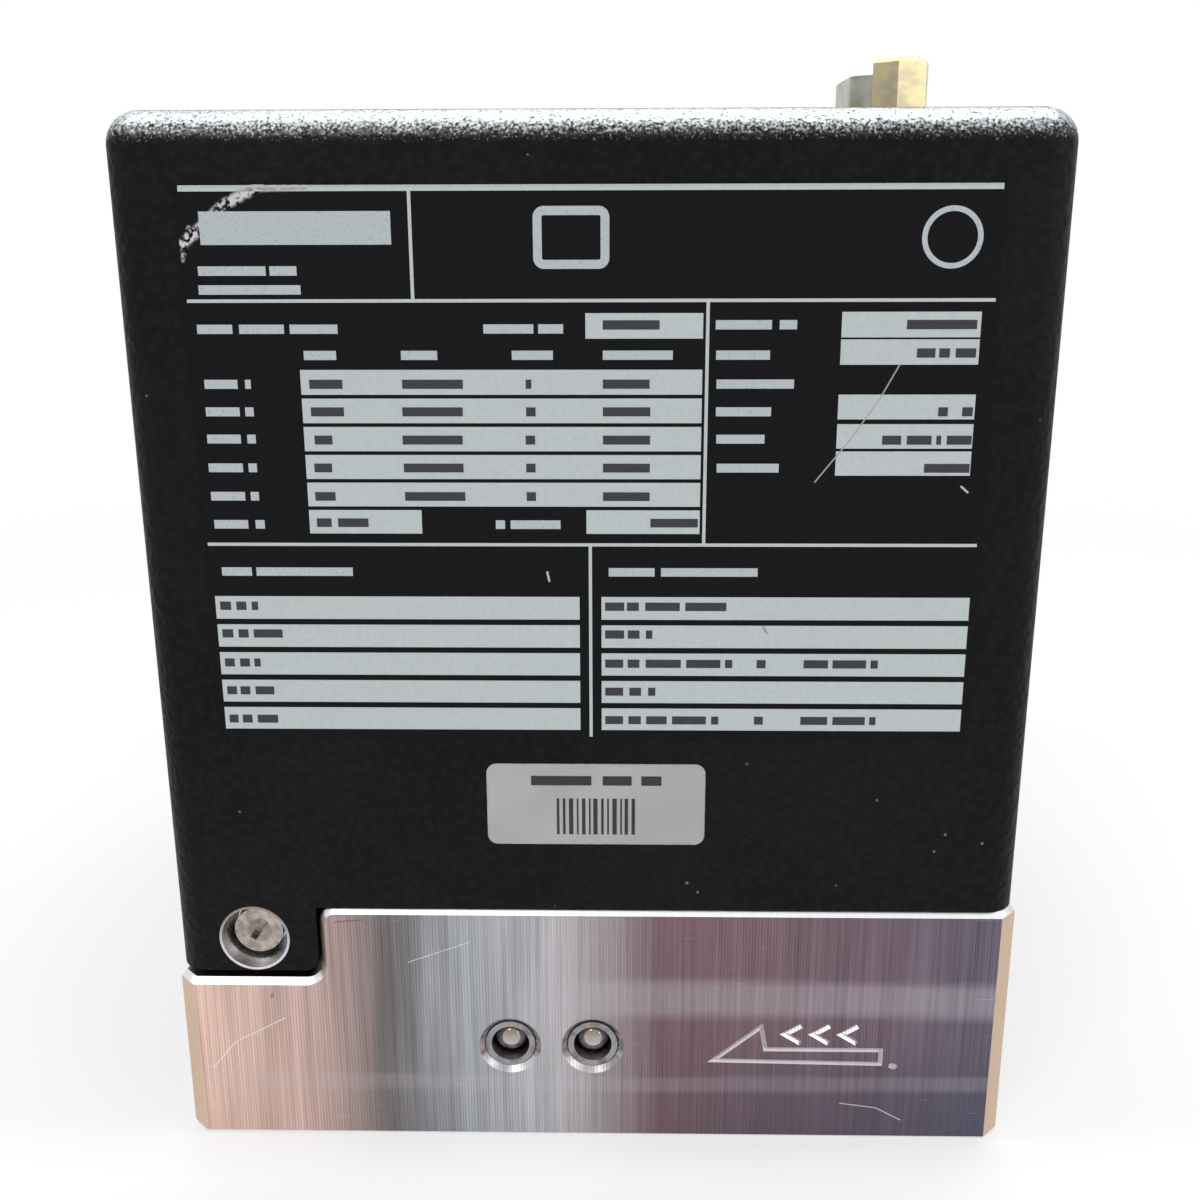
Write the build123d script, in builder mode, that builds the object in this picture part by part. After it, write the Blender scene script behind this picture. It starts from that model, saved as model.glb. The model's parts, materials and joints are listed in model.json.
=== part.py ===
from build123d import *

import os
from math import hypot, radians, tan

# Five-channel mass flow controller, in millimetres.
# X runs across the front from left to right, Y from front to back and Z up.
# The origin is the centre of the block's underside.
# Gas enters the ports on the right, passes a thermal sensor and a proportional
# solenoid valve in each channel, and leaves on the left.

os.makedirs("parts", exist_ok=True)

# Fasteners: screws and tapped holes are drawn at the thread's core, without the thread
M3_CORE_RADIUS = 1.2
M3_TAPPED_RADIUS = 1.25
M3_CLEARANCE_RADIUS = 1.7
M3_HEAD_RADIUS = 2.75
M3_HEAD_HEIGHT = 2.0
M3_NUT_FLATS = 5.5
M3_NUT_HEIGHT = 2.4
M3_SLOT_WIDTH = 0.8
M3_SLOT_DEPTH = 0.9
M3_GRIP = 7.0
TAPPED_MARGIN = 1.0
RUNNING_GAP = 0.05

# How far off an edge may lie and still be the one looked for
NEAR = 0.01

# Gas block
BLOCK_WIDTH = 100.0
BLOCK_DEPTH = 110.0
BLOCK_HEIGHT = 31.0
BLOCK_CORNER_CHAMFER = 2.0
BLOCK_EDGE_CHAMFER = 0.7
BLOCK_FOOT_CHAMFER = 0.4
PLATEAU_HEIGHT = 3.0
PLATEAU_GAP = 0.3

# Cover
COVER_TOP = 120.0
COVER_INSET = 0.3
COVER_WALL = 2.0
COVER_FILLET = 3.5

# Tabs that carry the cover, at the front left and rear right corners
TAB_WIDTH = 17.0
TAB_THICKNESS = 6.0
TAB_BOTTOM = 22.6
TAB_CORNER_RADIUS = 1.8
POCKET_FLOOR = 21.5
POCKET_CORNER_RADIUS = 2.0
POCKET_SIDE_GAP = 0.3
TAB_SCREW_FROM_SIDE = 9.5
TAB_SCREW_HEIGHT = 26.9
CUP_RADIUS = 4.2
CUP_MOUTH_RADIUS = 3.9
CUP_FLOOR_RADIUS = 3.1
CUP_DEPTH = 4.0
CUP_SHEET = 0.5
COVER_SCREW_HEAD_RADIUS = 2.9
COVER_SCREW_DISH_RADIUS = 1.6
COVER_SCREW_DISH_DEPTH = 0.7
COVER_SCREW_SLOT_LENGTH = 2.9
COVER_SCREW_SLOT_ANGLE = 57.0

# Channels
CHANNEL_COUNT = 5
CHANNEL_MARGIN = 15.0
FLOW_AXIS_HEIGHT = 12.7
FLOW_BORE_RADIUS = 1.5
PORT_RADIUS = 4.4
PORT_DEPTH = 9.0
PORT_MOUTH_CHAMFER = 0.6
LINK_DRILL_RADIUS = 0.9
LINK_DEPTH = 12.0

# Rails that join the channels where wanted, closed at the front by ball plugs
INLET_RAIL_X = 0.0
OUTLET_RAIL_X = -10.0
RAIL_RADIUS = 1.8
PLUG_RADIUS = 3.0
PLUG_LENGTH = 6.5
PLUG_WALL = 0.7
PLUG_MOUTH_CHAMFER = 0.7
PLUG_RECESS = 0.5
PLUG_BALL_DEPTH = 3.3

# Mounting holes in the underside, tapped M4
FOOT_HOLE_RADIUS = 1.65
FOOT_HOLE_DEPTH = 8.0
FOOT_FROM_SIDE = 10.0
FOOT_FROM_FRONT = 20.0

# D-sub connector in the roof
DSUB_FROM_SIDE = 17.2
DSUB_FROM_FRONT = 23.5
DSUB_WIDTH = 8.36
DSUB_LENGTH = 16.92
DSUB_SLANT = 10.0
DSUB_CORNER = 2.6
DSUB_SHEET = 0.45
DSUB_COLLAR = 6.2
DSUB_REAR_COLLAR = 4.0
DSUB_FLANGE_LENGTH = 30.8
DSUB_FLANGE_WIDTH = 12.5
DSUB_FLANGE = 0.8
DSUB_FLANGE_CORNER = 1.5
DSUB_ROOF_GAP = 0.5
DSUB_LONG_ROW_COUNT = 5
DSUB_SHORT_ROW_COUNT = 4
DSUB_PIN_PITCH = 2.77
DSUB_ROW_SPACING = 2.84
DSUB_PIN_RADIUS = 0.5
DSUB_PIN_TOP_BELOW_RIM = 1.0
DSUB_TAIL_LENGTH = 7.5
DSUB_FLOOR_DEPTH = 4.6
JACK_SPACING = 25.0
JACK_FLATS = 5.5
JACK_HEIGHT = 5.3
JACK_EDGE_CHAMFER = 0.5
JACK_SHANK_RADIUS = 1.45
JACK_HOLE_RADIUS = 1.65
JACK_THREAD_DEPTH = 4.5
JACK_TURN = 15.0

# Labels on the front
LABEL_WIDTH = 84.0
LABEL_HEIGHT = 60.0
LABEL_BOTTOM = 52.6
LABEL_FILM = 0.15
LABEL_CORNER = 0.6
PRINT_FILM = 0.04
STICKER_WIDTH = 25.0
STICKER_HEIGHT = 10.0
STICKER_BOTTOM = 39.5
STICKER_CENTRE_X = 0.5
STICKER_CORNER = 1.2
STICKER_FILM = 0.1

# Print on the data label: lefts and rights run from its side edges, tops from its lower edge
FIELD_HEIGHT = 2.6
GRID_LINE = 0.35
GRID_MARGIN = 0.3
GRID_LOW = 22.4
GRID_HIGH = 48.3
GRID_TOP_LEFT = 23.6
GRID_MIDDLE_RIGHT = 29.9
FIELD_GAP = 0.3
TABLE_LEFT = 11.6
TABLE_TOP = 41.4
TABLE_PITCH = 3.0
TABLE_ROWS = 5
RATING_RIGHT = 1.6
RATING_WIDTH = 14.3
RATING_TOPS = (47.3, 44.5, 38.8, 35.7, 32.8)
PORT_ROW_TOP = 16.7
PORT_ROW_PITCH = 3.25
PORT_ROW_LEFT = 0.6
PORT_ROW_GAP = 1.2
SHORT_FIELD_WIDTH = 12.2
ARTICLE_TOP = 47.2
LIMITS_TOP = 26.4

# Circuit boards
BOARD_THICKNESS = 1.6
MAIN_BOARD_BOTTOM = 38.0
MAIN_BOARD_TOP = 108.0
MAIN_BOARD_FROM_FRONT = 5.0
MAIN_BOARD_FROM_BACK = 11.0
BRACKET_SHEET = 1.0
BRACKET_WIDTH = 9.0
BRACKET_HEIGHT = 18.0
BRACKET_FOOT = 11.0
BRACKET_BEND = 1.5
BRACKET_SCREW_HEIGHT = 11.0
BRACKET_SCREW_OUT = 6.2
SOCKET_DEPTH = 8.5
SOCKET_WIDTH = 10.2
SOCKET_HEIGHT = 2.6
SOCKET_PITCH = 2.54
SOCKET_PINS = 4
PIN_SIZE = 0.64
PIN_HOLE_RADIUS = 0.55

# Chips on the main board's right face: middle from its front edge and from its lower
# edge, size along Y, size along Z, height
CHIPS = (
    (24.0, 40.0, 12.0, 12.0, 1.4),
    (50.0, 30.0, 7.0, 7.0, 1.0),
    (20.0, 58.0, 10.0, 4.0, 1.6),
    (36.0, 58.0, 5.0, 4.0, 1.6),
    (66.0, 59.0, 12.5, 12.5, 6.0),
    (68.0, 36.0, 8.0, 16.0, 4.5),
    (58.0, 30.0, 6.0, 5.0, 1.5),
    (10.0, 28.0, 8.0, 6.5, 2.0),
)

# Flow sensors
SENSOR_FROM_BOARD = 5.0
SENSOR_LENGTH = 32.0
SENSOR_WIDTH = 14.0
SENSOR_BASE = 6.0
SENSOR_LEDGE = 6.5
SENSOR_TOWER_HEIGHT = 28.0
SENSOR_TOWER_FILLET = 2.0
SENSOR_PORT_INSET = 9.0
SENSOR_SCREW_INSET = 3.5
SENSOR_SCREW_OFFSET = 4.0
SENSOR_PIN_HEIGHT = 18.0
SENSOR_PIN_REACH = 5.0
SENSOR_PORT_RADIUS = 1.25
SENSOR_CORNER = 1.0

# Seals
SEAL_SECTION_RADIUS = 0.4
SMALL_SEAL_RADIUS = 2.2
LARGE_SEAL_RADIUS = 6.2

# Valves: heights are measured from the block's plateau
VALVE_FROM_SIDE = 16.0
VALVE_LENGTH = 22.0
VALVE_WIDTH = 14.5
VALVE_CORNER = 1.0
VALVE_PLATE = 8.0
VALVE_SCREW_INSET = 2.8
VALVE_SCREW_OFFSET = 4.0
VALVE_BOSS_RADIUS = 5.8
VALVE_BOSS_TOP = 12.0
VALVE_CHAMBER_RADIUS = 5.05
VALVE_CHAMBER_FLOOR = 3.0
VALVE_INLET_OFFSET = 4.2
VALVE_INLET_RADIUS = 0.9
NOZZLE_RADIUS = 1.6
NOZZLE_TOP = 5.0
ORIFICE_RADIUS = 0.6
SPRING_THICKNESS = 0.2
SPRING_ARMS = 3
SPRING_SLOT_RADIUS = 4.0
SPRING_SLOT_WIDTH = 0.7
SPRING_SLOT_SWEEP = 85.0
PLUNGER_RADIUS = 4.0
PLUNGER_STEM_RADIUS = 2.6
PLUNGER_TOP = 24.0
PLUNGER_LIFT = 0.4
PLUNGER_REST_GAP = 0.1
PLUNGER_CHAMFER = 0.4
CORE_WALL = 0.7
PLUNGER_GUIDE_GAP = 0.3
CORE_FLANGE = 1.0
COIL_RADIUS = 7.3
COIL_TOP = 39.6
COIL_CAP = 1.5
COIL_WALL_GAP = 0.1
COIL_FILLET = 1.0
STUD_END = 0.6
COIL_PIN_RADIUS = 0.45
COIL_PIN_OFFSET_X = 6.0
COIL_PIN_OFFSET_Y = 2.5

# Valve board over the coils
VALVE_BOARD_HEIGHT = 44.0
VALVE_BOARD_FROM_SIDE = 3.5
VALVE_BOARD_WALL_GAP = 0.5
BOARD_GAP = 0.6
PILLAR_FLATS = 5.0
PILLAR_WALL_GAP = 0.4
PILLAR_FROM_VALVE = 8.0
PILLAR_FROM_BOARD = 10.0
PILLAR_STUD = 6.0
LINK_LENGTH = 26.0
LINK_PINS = 8
LINK_WIDTH = 8.5
LINK_HEIGHT = 5.0


def row_places(count, pitch):
    """Places of a row of equal things, centred on nought."""
    return [(i - (count - 1) / 2) * pitch for i in range(count)]


# Places worked out from the sizes above
front_face = -BLOCK_DEPTH / 2
cover_width = BLOCK_WIDTH - 2 * COVER_INSET
cover_depth = BLOCK_DEPTH - 2 * COVER_INSET
cover_front = -cover_depth / 2
inner_width = cover_width - 2 * COVER_WALL
inner_depth = cover_depth - 2 * COVER_WALL
inner_fillet = COVER_FILLET - COVER_WALL
plateau_width = inner_width - 2 * PLATEAU_GAP
plateau_depth = inner_depth - 2 * PLATEAU_GAP
plateau_top = BLOCK_HEIGHT + PLATEAU_HEIGHT
roof_underside = COVER_TOP - COVER_WALL
tab_top = plateau_top - PLATEAU_GAP
tab_screw_x = -cover_width / 2 + TAB_SCREW_FROM_SIDE
pocket_depth = COVER_INSET + TAB_THICKNESS
pocket_width = COVER_INSET + TAB_WIDTH + POCKET_SIDE_GAP
channel_pitch = (BLOCK_DEPTH - 2 * CHANNEL_MARGIN) / (CHANNEL_COUNT - 1)
channel_ys = row_places(CHANNEL_COUNT, channel_pitch)
between_channel_ys = [
    channel_ys[0] + channel_pitch / 2,
    channel_ys[-1] - channel_pitch / 2,
]
plug_xs = [OUTLET_RAIL_X, INLET_RAIL_X]
dsub_x = BLOCK_WIDTH / 2 - DSUB_FROM_SIDE
dsub_y = front_face + DSUB_FROM_FRONT
board_left_face = dsub_x - BOARD_THICKNESS / 2
board_right_face = dsub_x + BOARD_THICKNESS / 2
sensor_x = board_left_face - SENSOR_FROM_BOARD - SENSOR_LENGTH / 2
sensor_port_spacing = SENSOR_LENGTH - 2 * SENSOR_PORT_INSET
sensor_screw_spacing = SENSOR_LENGTH - 2 * SENSOR_SCREW_INSET
sensor_tower_length = SENSOR_LENGTH - 2 * SENSOR_LEDGE
sensor_inlet_x = sensor_x + sensor_port_spacing / 2
sensor_outlet_x = sensor_x - sensor_port_spacing / 2
valve_x = -BLOCK_WIDTH / 2 + VALVE_FROM_SIDE
valve_screw_spacing = VALVE_LENGTH - 2 * VALVE_SCREW_INSET
valve_inlet_x = valve_x + VALVE_INLET_OFFSET
link_half = (sensor_outlet_x - valve_inlet_x) / 2
link_run = hypot(link_half, LINK_DEPTH)
seal_groove_depth = 2 * SEAL_SECTION_RADIUS
core_inner_radius = PLUNGER_RADIUS + PLUNGER_GUIDE_GAP
core_outer_radius = core_inner_radius + CORE_WALL
pole_face = PLUNGER_TOP + PLUNGER_LIFT + PLUNGER_REST_GAP
core_seat = VALVE_BOSS_TOP + SPRING_THICKNESS
coil_seat = core_seat + CORE_FLANGE
core_shoulder = COIL_TOP - COIL_CAP - COIL_WALL_GAP
sensor_pin_z = plateau_top + SENSOR_PIN_HEIGHT
sensor_right = sensor_x + sensor_tower_length / 2
valve_board_z = plateau_top + VALVE_BOARD_HEIGHT
valve_board_right = board_left_face - BOARD_GAP
valve_board_top = valve_board_z + BOARD_THICKNESS
main_board_front = front_face + MAIN_BOARD_FROM_FRONT
main_board_back = BLOCK_DEPTH / 2 - MAIN_BOARD_FROM_BACK
bracket_screw_z = plateau_top + BRACKET_SCREW_HEIGHT
bracket_screw_x = board_right_face + BRACKET_SCREW_OUT
label_face = cover_front - LABEL_FILM
jack_ys = [dsub_y - JACK_SPACING / 2, dsub_y + JACK_SPACING / 2]
flange_top = roof_underside
flange_underside = flange_top - DSUB_FLANGE
rear_flange_underside = flange_underside - DSUB_FLANGE


def save(piece, node):
    """Label a finished piece and write its STEP file under its node's name."""
    piece.part.label = node
    export_step(piece.part, f"parts/{node}.step")


def front_plane(y):
    """A plane that faces the viewer in front, at depth y, with X right and Z up."""
    return Plane(origin=(0, y, 0), x_dir=(1, 0, 0), z_dir=(0, -1, 0))


def side_plane(x):
    """A plane that faces the right, at x, with Y to its right and Z up."""
    return Plane(origin=(x, 0, 0), x_dir=(0, 1, 0), z_dir=(1, 0, 0))


def half_turn_plane(y, turn):
    """The front plane at depth y, or with turn -1 its half turn about Z at the back."""
    return Plane(origin=(0, turn * y, 0), x_dir=(turn, 0, 0), z_dir=(0, -turn, 0))


def bore_section(x, y, z, turn=1):
    """A level plane through a bore's axis: local X is its radius and local Y its depth."""
    return Plane(origin=(turn * x, turn * y, z), x_dir=(turn, 0, 0), z_dir=(0, 0, 1))


def bore_axis(x, y, z, turn=1):
    """The axis of a bore that runs in from the front, or with turn -1 from the back."""
    return Axis(origin=(turn * x, turn * y, z), direction=(0, turn, 0))


def d_outline(grow=0.0):
    """The connector's D outline, long side to the right, grown by the given amount."""
    half_width = DSUB_WIDTH / 2
    half_long = DSUB_LENGTH / 2
    half_short = half_long - DSUB_WIDTH * tan(radians(DSUB_SLANT))
    with BuildSketch() as outline:
        with BuildLine():
            Polyline(
                (half_width, -half_long),
                (half_width, half_long),
                (-half_width, half_short),
                (-half_width, -half_short),
                close=True,
            )
        make_face()
        fillet(outline.vertices(), DSUB_CORNER)
        if grow:
            offset(amount=grow, mode=Mode.REPLACE)
    return outline.sketch


def dsub_plane(z):
    """A level plane at height z, centred on the connector."""
    return Plane(origin=(dsub_x, dsub_y, z))


def make_screws(seat_plane, points, shank_length):
    """Slotted M3 screws whose heads sit on a plane and whose shanks go through it."""
    with BuildPart() as screws:
        with BuildSketch(seat_plane):
            with Locations(*points):
                Circle(M3_HEAD_RADIUS)
        extrude(amount=M3_HEAD_HEIGHT)
        with BuildSketch(seat_plane):
            with Locations(*points):
                Circle(M3_CORE_RADIUS)
        extrude(amount=-shank_length)
        with BuildSketch(seat_plane.offset(M3_HEAD_HEIGHT)):
            with Locations(*points):
                Rectangle(2 * M3_HEAD_RADIUS, M3_SLOT_WIDTH)
        extrude(amount=-M3_SLOT_DEPTH, mode=Mode.SUBTRACT)
    return screws


def make_nuts(seat_plane, points, hole_radius):
    """Hexagon nuts for M3, standing on a plane."""
    with BuildPart() as nuts:
        with BuildSketch(seat_plane):
            with Locations(*points):
                RegularPolygon(M3_NUT_FLATS / 2, 6, major_radius=False)
                Circle(hole_radius, mode=Mode.SUBTRACT)
        extrude(amount=M3_NUT_HEIGHT)
    return nuts


turns = (1, -1)
sensor_screw_points = [
    (sensor_x + side * sensor_screw_spacing / 2, y - side * SENSOR_SCREW_OFFSET)
    for y in channel_ys
    for side in turns
]
valve_screw_points = [
    (valve_x + side * valve_screw_spacing / 2, y - side * VALVE_SCREW_OFFSET)
    for y in channel_ys
    for side in turns
]
pillar_y = inner_depth / 2 - PILLAR_WALL_GAP - PILLAR_FLATS / 2
pillar_points = [
    (x, side * pillar_y)
    for x in (valve_x + PILLAR_FROM_VALVE, board_left_face - PILLAR_FROM_BOARD)
    for side in turns
]
bracket_foot_points = [(bracket_screw_x, y) for y in between_channel_ys]
valve_points = [(valve_x, y) for y in channel_ys]
tapped_depth = M3_GRIP + TAPPED_MARGIN

# Gas block
with BuildPart() as gas_block:
    with BuildSketch() as footprint:
        Rectangle(BLOCK_WIDTH, BLOCK_DEPTH)
        chamfer(footprint.vertices(), BLOCK_CORNER_CHAMFER)
    extrude(amount=BLOCK_HEIGHT)
    chamfer(gas_block.faces().sort_by(Axis.Z)[0].edges(), BLOCK_FOOT_CHAMFER)

    # Pockets for the cover's tabs, milled in from the front and from the back
    for turn in turns:
        with BuildSketch(half_turn_plane(front_face, turn)):
            with Locations((-BLOCK_WIDTH / 2, POCKET_FLOOR)):
                Rectangle(pocket_width, BLOCK_HEIGHT, align=(Align.MIN, Align.MIN))
        extrude(amount=-pocket_depth, mode=Mode.SUBTRACT)
    pocket_side_x = BLOCK_WIDTH / 2 - pocket_width
    pocket_corners = [
        edge
        for edge in gas_block.edges().filter_by(Axis.Y)
        if abs(abs(edge.center().X) - pocket_side_x) < NEAR
        and edge.center().Z > POCKET_FLOOR - NEAR
    ]
    fillet(pocket_corners, POCKET_CORNER_RADIUS)

    # Every upper outside edge is broken by a chamfer, along the pockets too
    rim = [
        edge
        for edge in gas_block.edges()
        if edge.center().Z > POCKET_FLOOR - NEAR
        and (
            abs(edge.center().X) > BLOCK_WIDTH / 2 - NEAR
            or abs(edge.center().Y) > BLOCK_DEPTH / 2 - NEAR
            or abs(edge.center().X) + abs(edge.center().Y)
            > BLOCK_WIDTH / 2 + BLOCK_DEPTH / 2 - BLOCK_CORNER_CHAMFER - NEAR
        )
    ]
    chamfer(rim, BLOCK_EDGE_CHAMFER)

    # Plateau that locates the cover from inside
    with BuildSketch(Plane.XY.offset(BLOCK_HEIGHT)) as plateau:
        RectangleRounded(plateau_width, plateau_depth, inner_fillet)
        for turn in turns:
            with Locations((-turn * BLOCK_WIDTH / 2, turn * front_face)):
                Rectangle(
                    2 * (pocket_width + POCKET_CORNER_RADIUS),
                    2 * pocket_depth,
                    mode=Mode.SUBTRACT,
                )
    extrude(amount=PLATEAU_HEIGHT)

    # Gas ports and the flow bores behind them
    right_ports = [
        Plane(origin=(BLOCK_WIDTH / 2, y, FLOW_AXIS_HEIGHT), z_dir=(1, 0, 0))
        for y in channel_ys
    ]
    with Locations(*right_ports):
        CounterBoreHole(
            FLOW_BORE_RADIUS, PORT_RADIUS, PORT_DEPTH, BLOCK_WIDTH / 2 - INLET_RAIL_X
        )
    left_ports = [
        Plane(origin=(-BLOCK_WIDTH / 2, y, FLOW_AXIS_HEIGHT), z_dir=(-1, 0, 0))
        for y in channel_ys
    ]
    with Locations(*left_ports):
        CounterBoreHole(
            FLOW_BORE_RADIUS, PORT_RADIUS, PORT_DEPTH, BLOCK_WIDTH / 2 + OUTLET_RAIL_X
        )

    # Rails, with a seat for a ball plug at their mouths
    rail_mouths = [
        Plane(origin=(x, front_face, FLOW_AXIS_HEIGHT), z_dir=(0, -1, 0)) for x in plug_xs
    ]
    with Locations(*rail_mouths):
        CounterBoreHole(
            RAIL_RADIUS,
            PLUG_RADIUS + RUNNING_GAP,
            PLUG_RECESS + PLUG_LENGTH,
            channel_ys[-1] - front_face,
        )

    # Chamfered mouths of the ports and plug seats
    port_mouths = [
        edge
        for edge in gas_block.edges().filter_by(GeomType.CIRCLE)
        if abs(edge.center().X) > BLOCK_WIDTH / 2 - NEAR
        and abs(edge.radius - PORT_RADIUS) < NEAR
    ]
    chamfer(port_mouths, PORT_MOUTH_CHAMFER)
    plug_mouths = [
        edge
        for edge in gas_block.edges().filter_by(GeomType.CIRCLE)
        if edge.center().Y < front_face + NEAR
        and abs(edge.radius - PLUG_RADIUS - RUNNING_GAP) < NEAR
    ]
    chamfer(plug_mouths, PLUG_MOUTH_CHAMFER)

    # Risers up to each sensor's inlet and down from each valve's outlet
    riser_tops = [(x, y, plateau_top) for x in (sensor_inlet_x, valve_x) for y in channel_ys]
    with Locations(*riser_tops):
        Hole(FLOW_BORE_RADIUS, plateau_top - FLOW_AXIS_HEIGHT)

    # Pairs of slanted drillings that meet in a V, from sensor outlet to valve inlet
    lead_in = 3 * LINK_DRILL_RADIUS / link_run
    for x, slant in ((sensor_outlet_x, 1), (valve_inlet_x, -1)):
        starts = [
            Plane(
                origin=(
                    x + slant * link_half * lead_in,
                    y,
                    plateau_top + LINK_DEPTH * lead_in,
                ),
                z_dir=(slant * link_half, 0, LINK_DEPTH),
            )
            for y in channel_ys
        ]
        with Locations(*starts):
            Hole(LINK_DRILL_RADIUS, link_run * (1 + lead_in))

    # Tapped holes on the plateau for sensors, valves, brackets and pillars
    tapped_points = sensor_screw_points + valve_screw_points + bracket_foot_points
    with Locations(*[(x, y, plateau_top) for x, y in tapped_points]):
        Hole(M3_TAPPED_RADIUS, tapped_depth)
    with Locations(*[(x, y, plateau_top) for x, y in pillar_points]):
        Hole(M3_TAPPED_RADIUS, PILLAR_STUD + TAPPED_MARGIN)

    # Tapped holes for the cover's screws, in the pockets' back walls
    for turn in turns:
        pocket_back = half_turn_plane(front_face + pocket_depth, turn)
        with BuildSketch(pocket_back):
            with Locations((tab_screw_x, TAB_SCREW_HEIGHT)):
                Circle(M3_TAPPED_RADIUS)
        extrude(amount=-tapped_depth, mode=Mode.SUBTRACT)

    # Mounting holes in the underside
    with BuildSketch(Plane.XY):
        with GridLocations(
            BLOCK_WIDTH - 2 * FOOT_FROM_SIDE, BLOCK_DEPTH - 2 * FOOT_FROM_FRONT, 2, 2
        ):
            Circle(FOOT_HOLE_RADIUS)
    extrude(amount=FOOT_HOLE_DEPTH, mode=Mode.SUBTRACT)
save(gas_block, "gas_block")

# Cover: one shell with two tabs that reach down into the block's pockets
with BuildPart() as cover:
    with BuildSketch(Plane.XY.offset(BLOCK_HEIGHT)):
        RectangleRounded(cover_width, cover_depth, COVER_FILLET)
    extrude(amount=COVER_TOP - BLOCK_HEIGHT)
    fillet(cover.faces().sort_by(Axis.Z)[-1].edges(), COVER_FILLET)
    offset(amount=-COVER_WALL, openings=cover.faces().sort_by(Axis.Z)[0])
    for turn in turns:
        with BuildSketch(Plane.XY.offset(TAB_BOTTOM)):
            RectangleRounded(cover_width, cover_depth, COVER_FILLET)
            with Locations((-turn * cover_width / 2, turn * cover_front)):
                Rectangle(2 * TAB_WIDTH, 2 * TAB_THICKNESS, mode=Mode.INTERSECT)
        extrude(amount=tab_top - TAB_BOTTOM)
    tab_side_x = cover_width / 2 - TAB_WIDTH
    tab_corners = [
        edge
        for edge in cover.edges().filter_by(Axis.Y)
        if abs(abs(edge.center().X) - tab_side_x) < NEAR
        and edge.center().Z < TAB_BOTTOM + NEAR
    ]
    fillet(tab_corners, TAB_CORNER_RADIUS)
    tab_holes = [
        Plane(
            origin=(turn * tab_screw_x, turn * cover_front, TAB_SCREW_HEIGHT),
            z_dir=(0, -turn, 0),
        )
        for turn in turns
    ]
    with Locations(*tab_holes):
        CounterBoreHole(
            M3_CLEARANCE_RADIUS, CUP_RADIUS + RUNNING_GAP, CUP_DEPTH + CUP_SHEET, TAB_THICKNESS
        )

    # Cut-out for the connector and its jackscrews
    with BuildSketch(dsub_plane(roof_underside)):
        add(d_outline(DSUB_ROOF_GAP))
    extrude(amount=COVER_WALL, mode=Mode.SUBTRACT)
    with BuildSketch(dsub_plane(roof_underside)):
        with GridLocations(0, JACK_SPACING, 1, 2):
            Circle(JACK_HOLE_RADIUS)
    extrude(amount=COVER_WALL, mode=Mode.SUBTRACT)
save(cover, "cover")

# Cup washers that line the recesses in the tabs
with BuildPart() as cup_washers:
    for turn in turns:
        with BuildSketch(bore_section(tab_screw_x, cover_front, TAB_SCREW_HEIGHT, turn)):
            with BuildLine():
                Polyline(
                    (CUP_MOUTH_RADIUS, 0),
                    (CUP_RADIUS, 0),
                    (CUP_RADIUS, CUP_DEPTH + CUP_SHEET),
                    (M3_CLEARANCE_RADIUS, CUP_DEPTH + CUP_SHEET),
                    (M3_CLEARANCE_RADIUS, CUP_DEPTH),
                    (CUP_FLOOR_RADIUS, CUP_DEPTH),
                    close=True,
                )
            make_face()
        revolve(axis=bore_axis(tab_screw_x, cover_front, TAB_SCREW_HEIGHT, turn))
save(cup_washers, "cup_washers")

# Cover screws: dished heads with a short slot
cover_screw_face = CUP_DEPTH - M3_HEAD_HEIGHT
with BuildPart() as cover_screws:
    for turn in turns:
        with BuildSketch(bore_section(tab_screw_x, cover_front, TAB_SCREW_HEIGHT, turn)):
            with BuildLine():
                Polyline(
                    (0, cover_screw_face + COVER_SCREW_DISH_DEPTH),
                    (COVER_SCREW_DISH_RADIUS, cover_screw_face),
                    (COVER_SCREW_HEAD_RADIUS, cover_screw_face),
                    (COVER_SCREW_HEAD_RADIUS, CUP_DEPTH),
                    (M3_CORE_RADIUS, CUP_DEPTH),
                    (M3_CORE_RADIUS, TAB_THICKNESS + M3_GRIP),
                    (0, TAB_THICKNESS + M3_GRIP),
                    close=True,
                )
            make_face()
        revolve(axis=bore_axis(tab_screw_x, cover_front, TAB_SCREW_HEIGHT, turn))
        with BuildSketch(half_turn_plane(cover_front + cover_screw_face, turn)):
            with Locations((tab_screw_x, TAB_SCREW_HEIGHT)):
                Rectangle(
                    COVER_SCREW_SLOT_LENGTH, M3_SLOT_WIDTH, rotation=COVER_SCREW_SLOT_ANGLE
                )
        slot_depth = COVER_SCREW_DISH_DEPTH + M3_SLOT_DEPTH / 2
        extrude(amount=-slot_depth, mode=Mode.SUBTRACT)
save(cover_screws, "cover_screws")

# Ball plugs: a closed sleeve, spread against its bore by a ball pressed into it
plug_inner_radius = PLUG_RADIUS - PLUG_WALL
plug_bottom = PLUG_RECESS + PLUG_LENGTH
with BuildPart() as plug_sleeves:
    for x in plug_xs:
        with BuildSketch(bore_section(x, front_face, FLOW_AXIS_HEIGHT)):
            with BuildLine():
                Polyline(
                    (PLUG_RADIUS, PLUG_RECESS),
                    (PLUG_RADIUS, plug_bottom),
                    (0, plug_bottom),
                    (0, plug_bottom - PLUG_WALL),
                    (plug_inner_radius, plug_bottom - PLUG_WALL),
                    (plug_inner_radius, PLUG_RECESS),
                    close=True,
                )
            make_face()
        revolve(axis=bore_axis(x, front_face, FLOW_AXIS_HEIGHT))
save(plug_sleeves, "plug_sleeves")

with BuildPart() as plug_balls:
    with Locations(*[(x, front_face + PLUG_BALL_DEPTH, FLOW_AXIS_HEIGHT) for x in plug_xs]):
        Sphere(plug_inner_radius - RUNNING_GAP)
save(plug_balls, "plug_balls")


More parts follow.
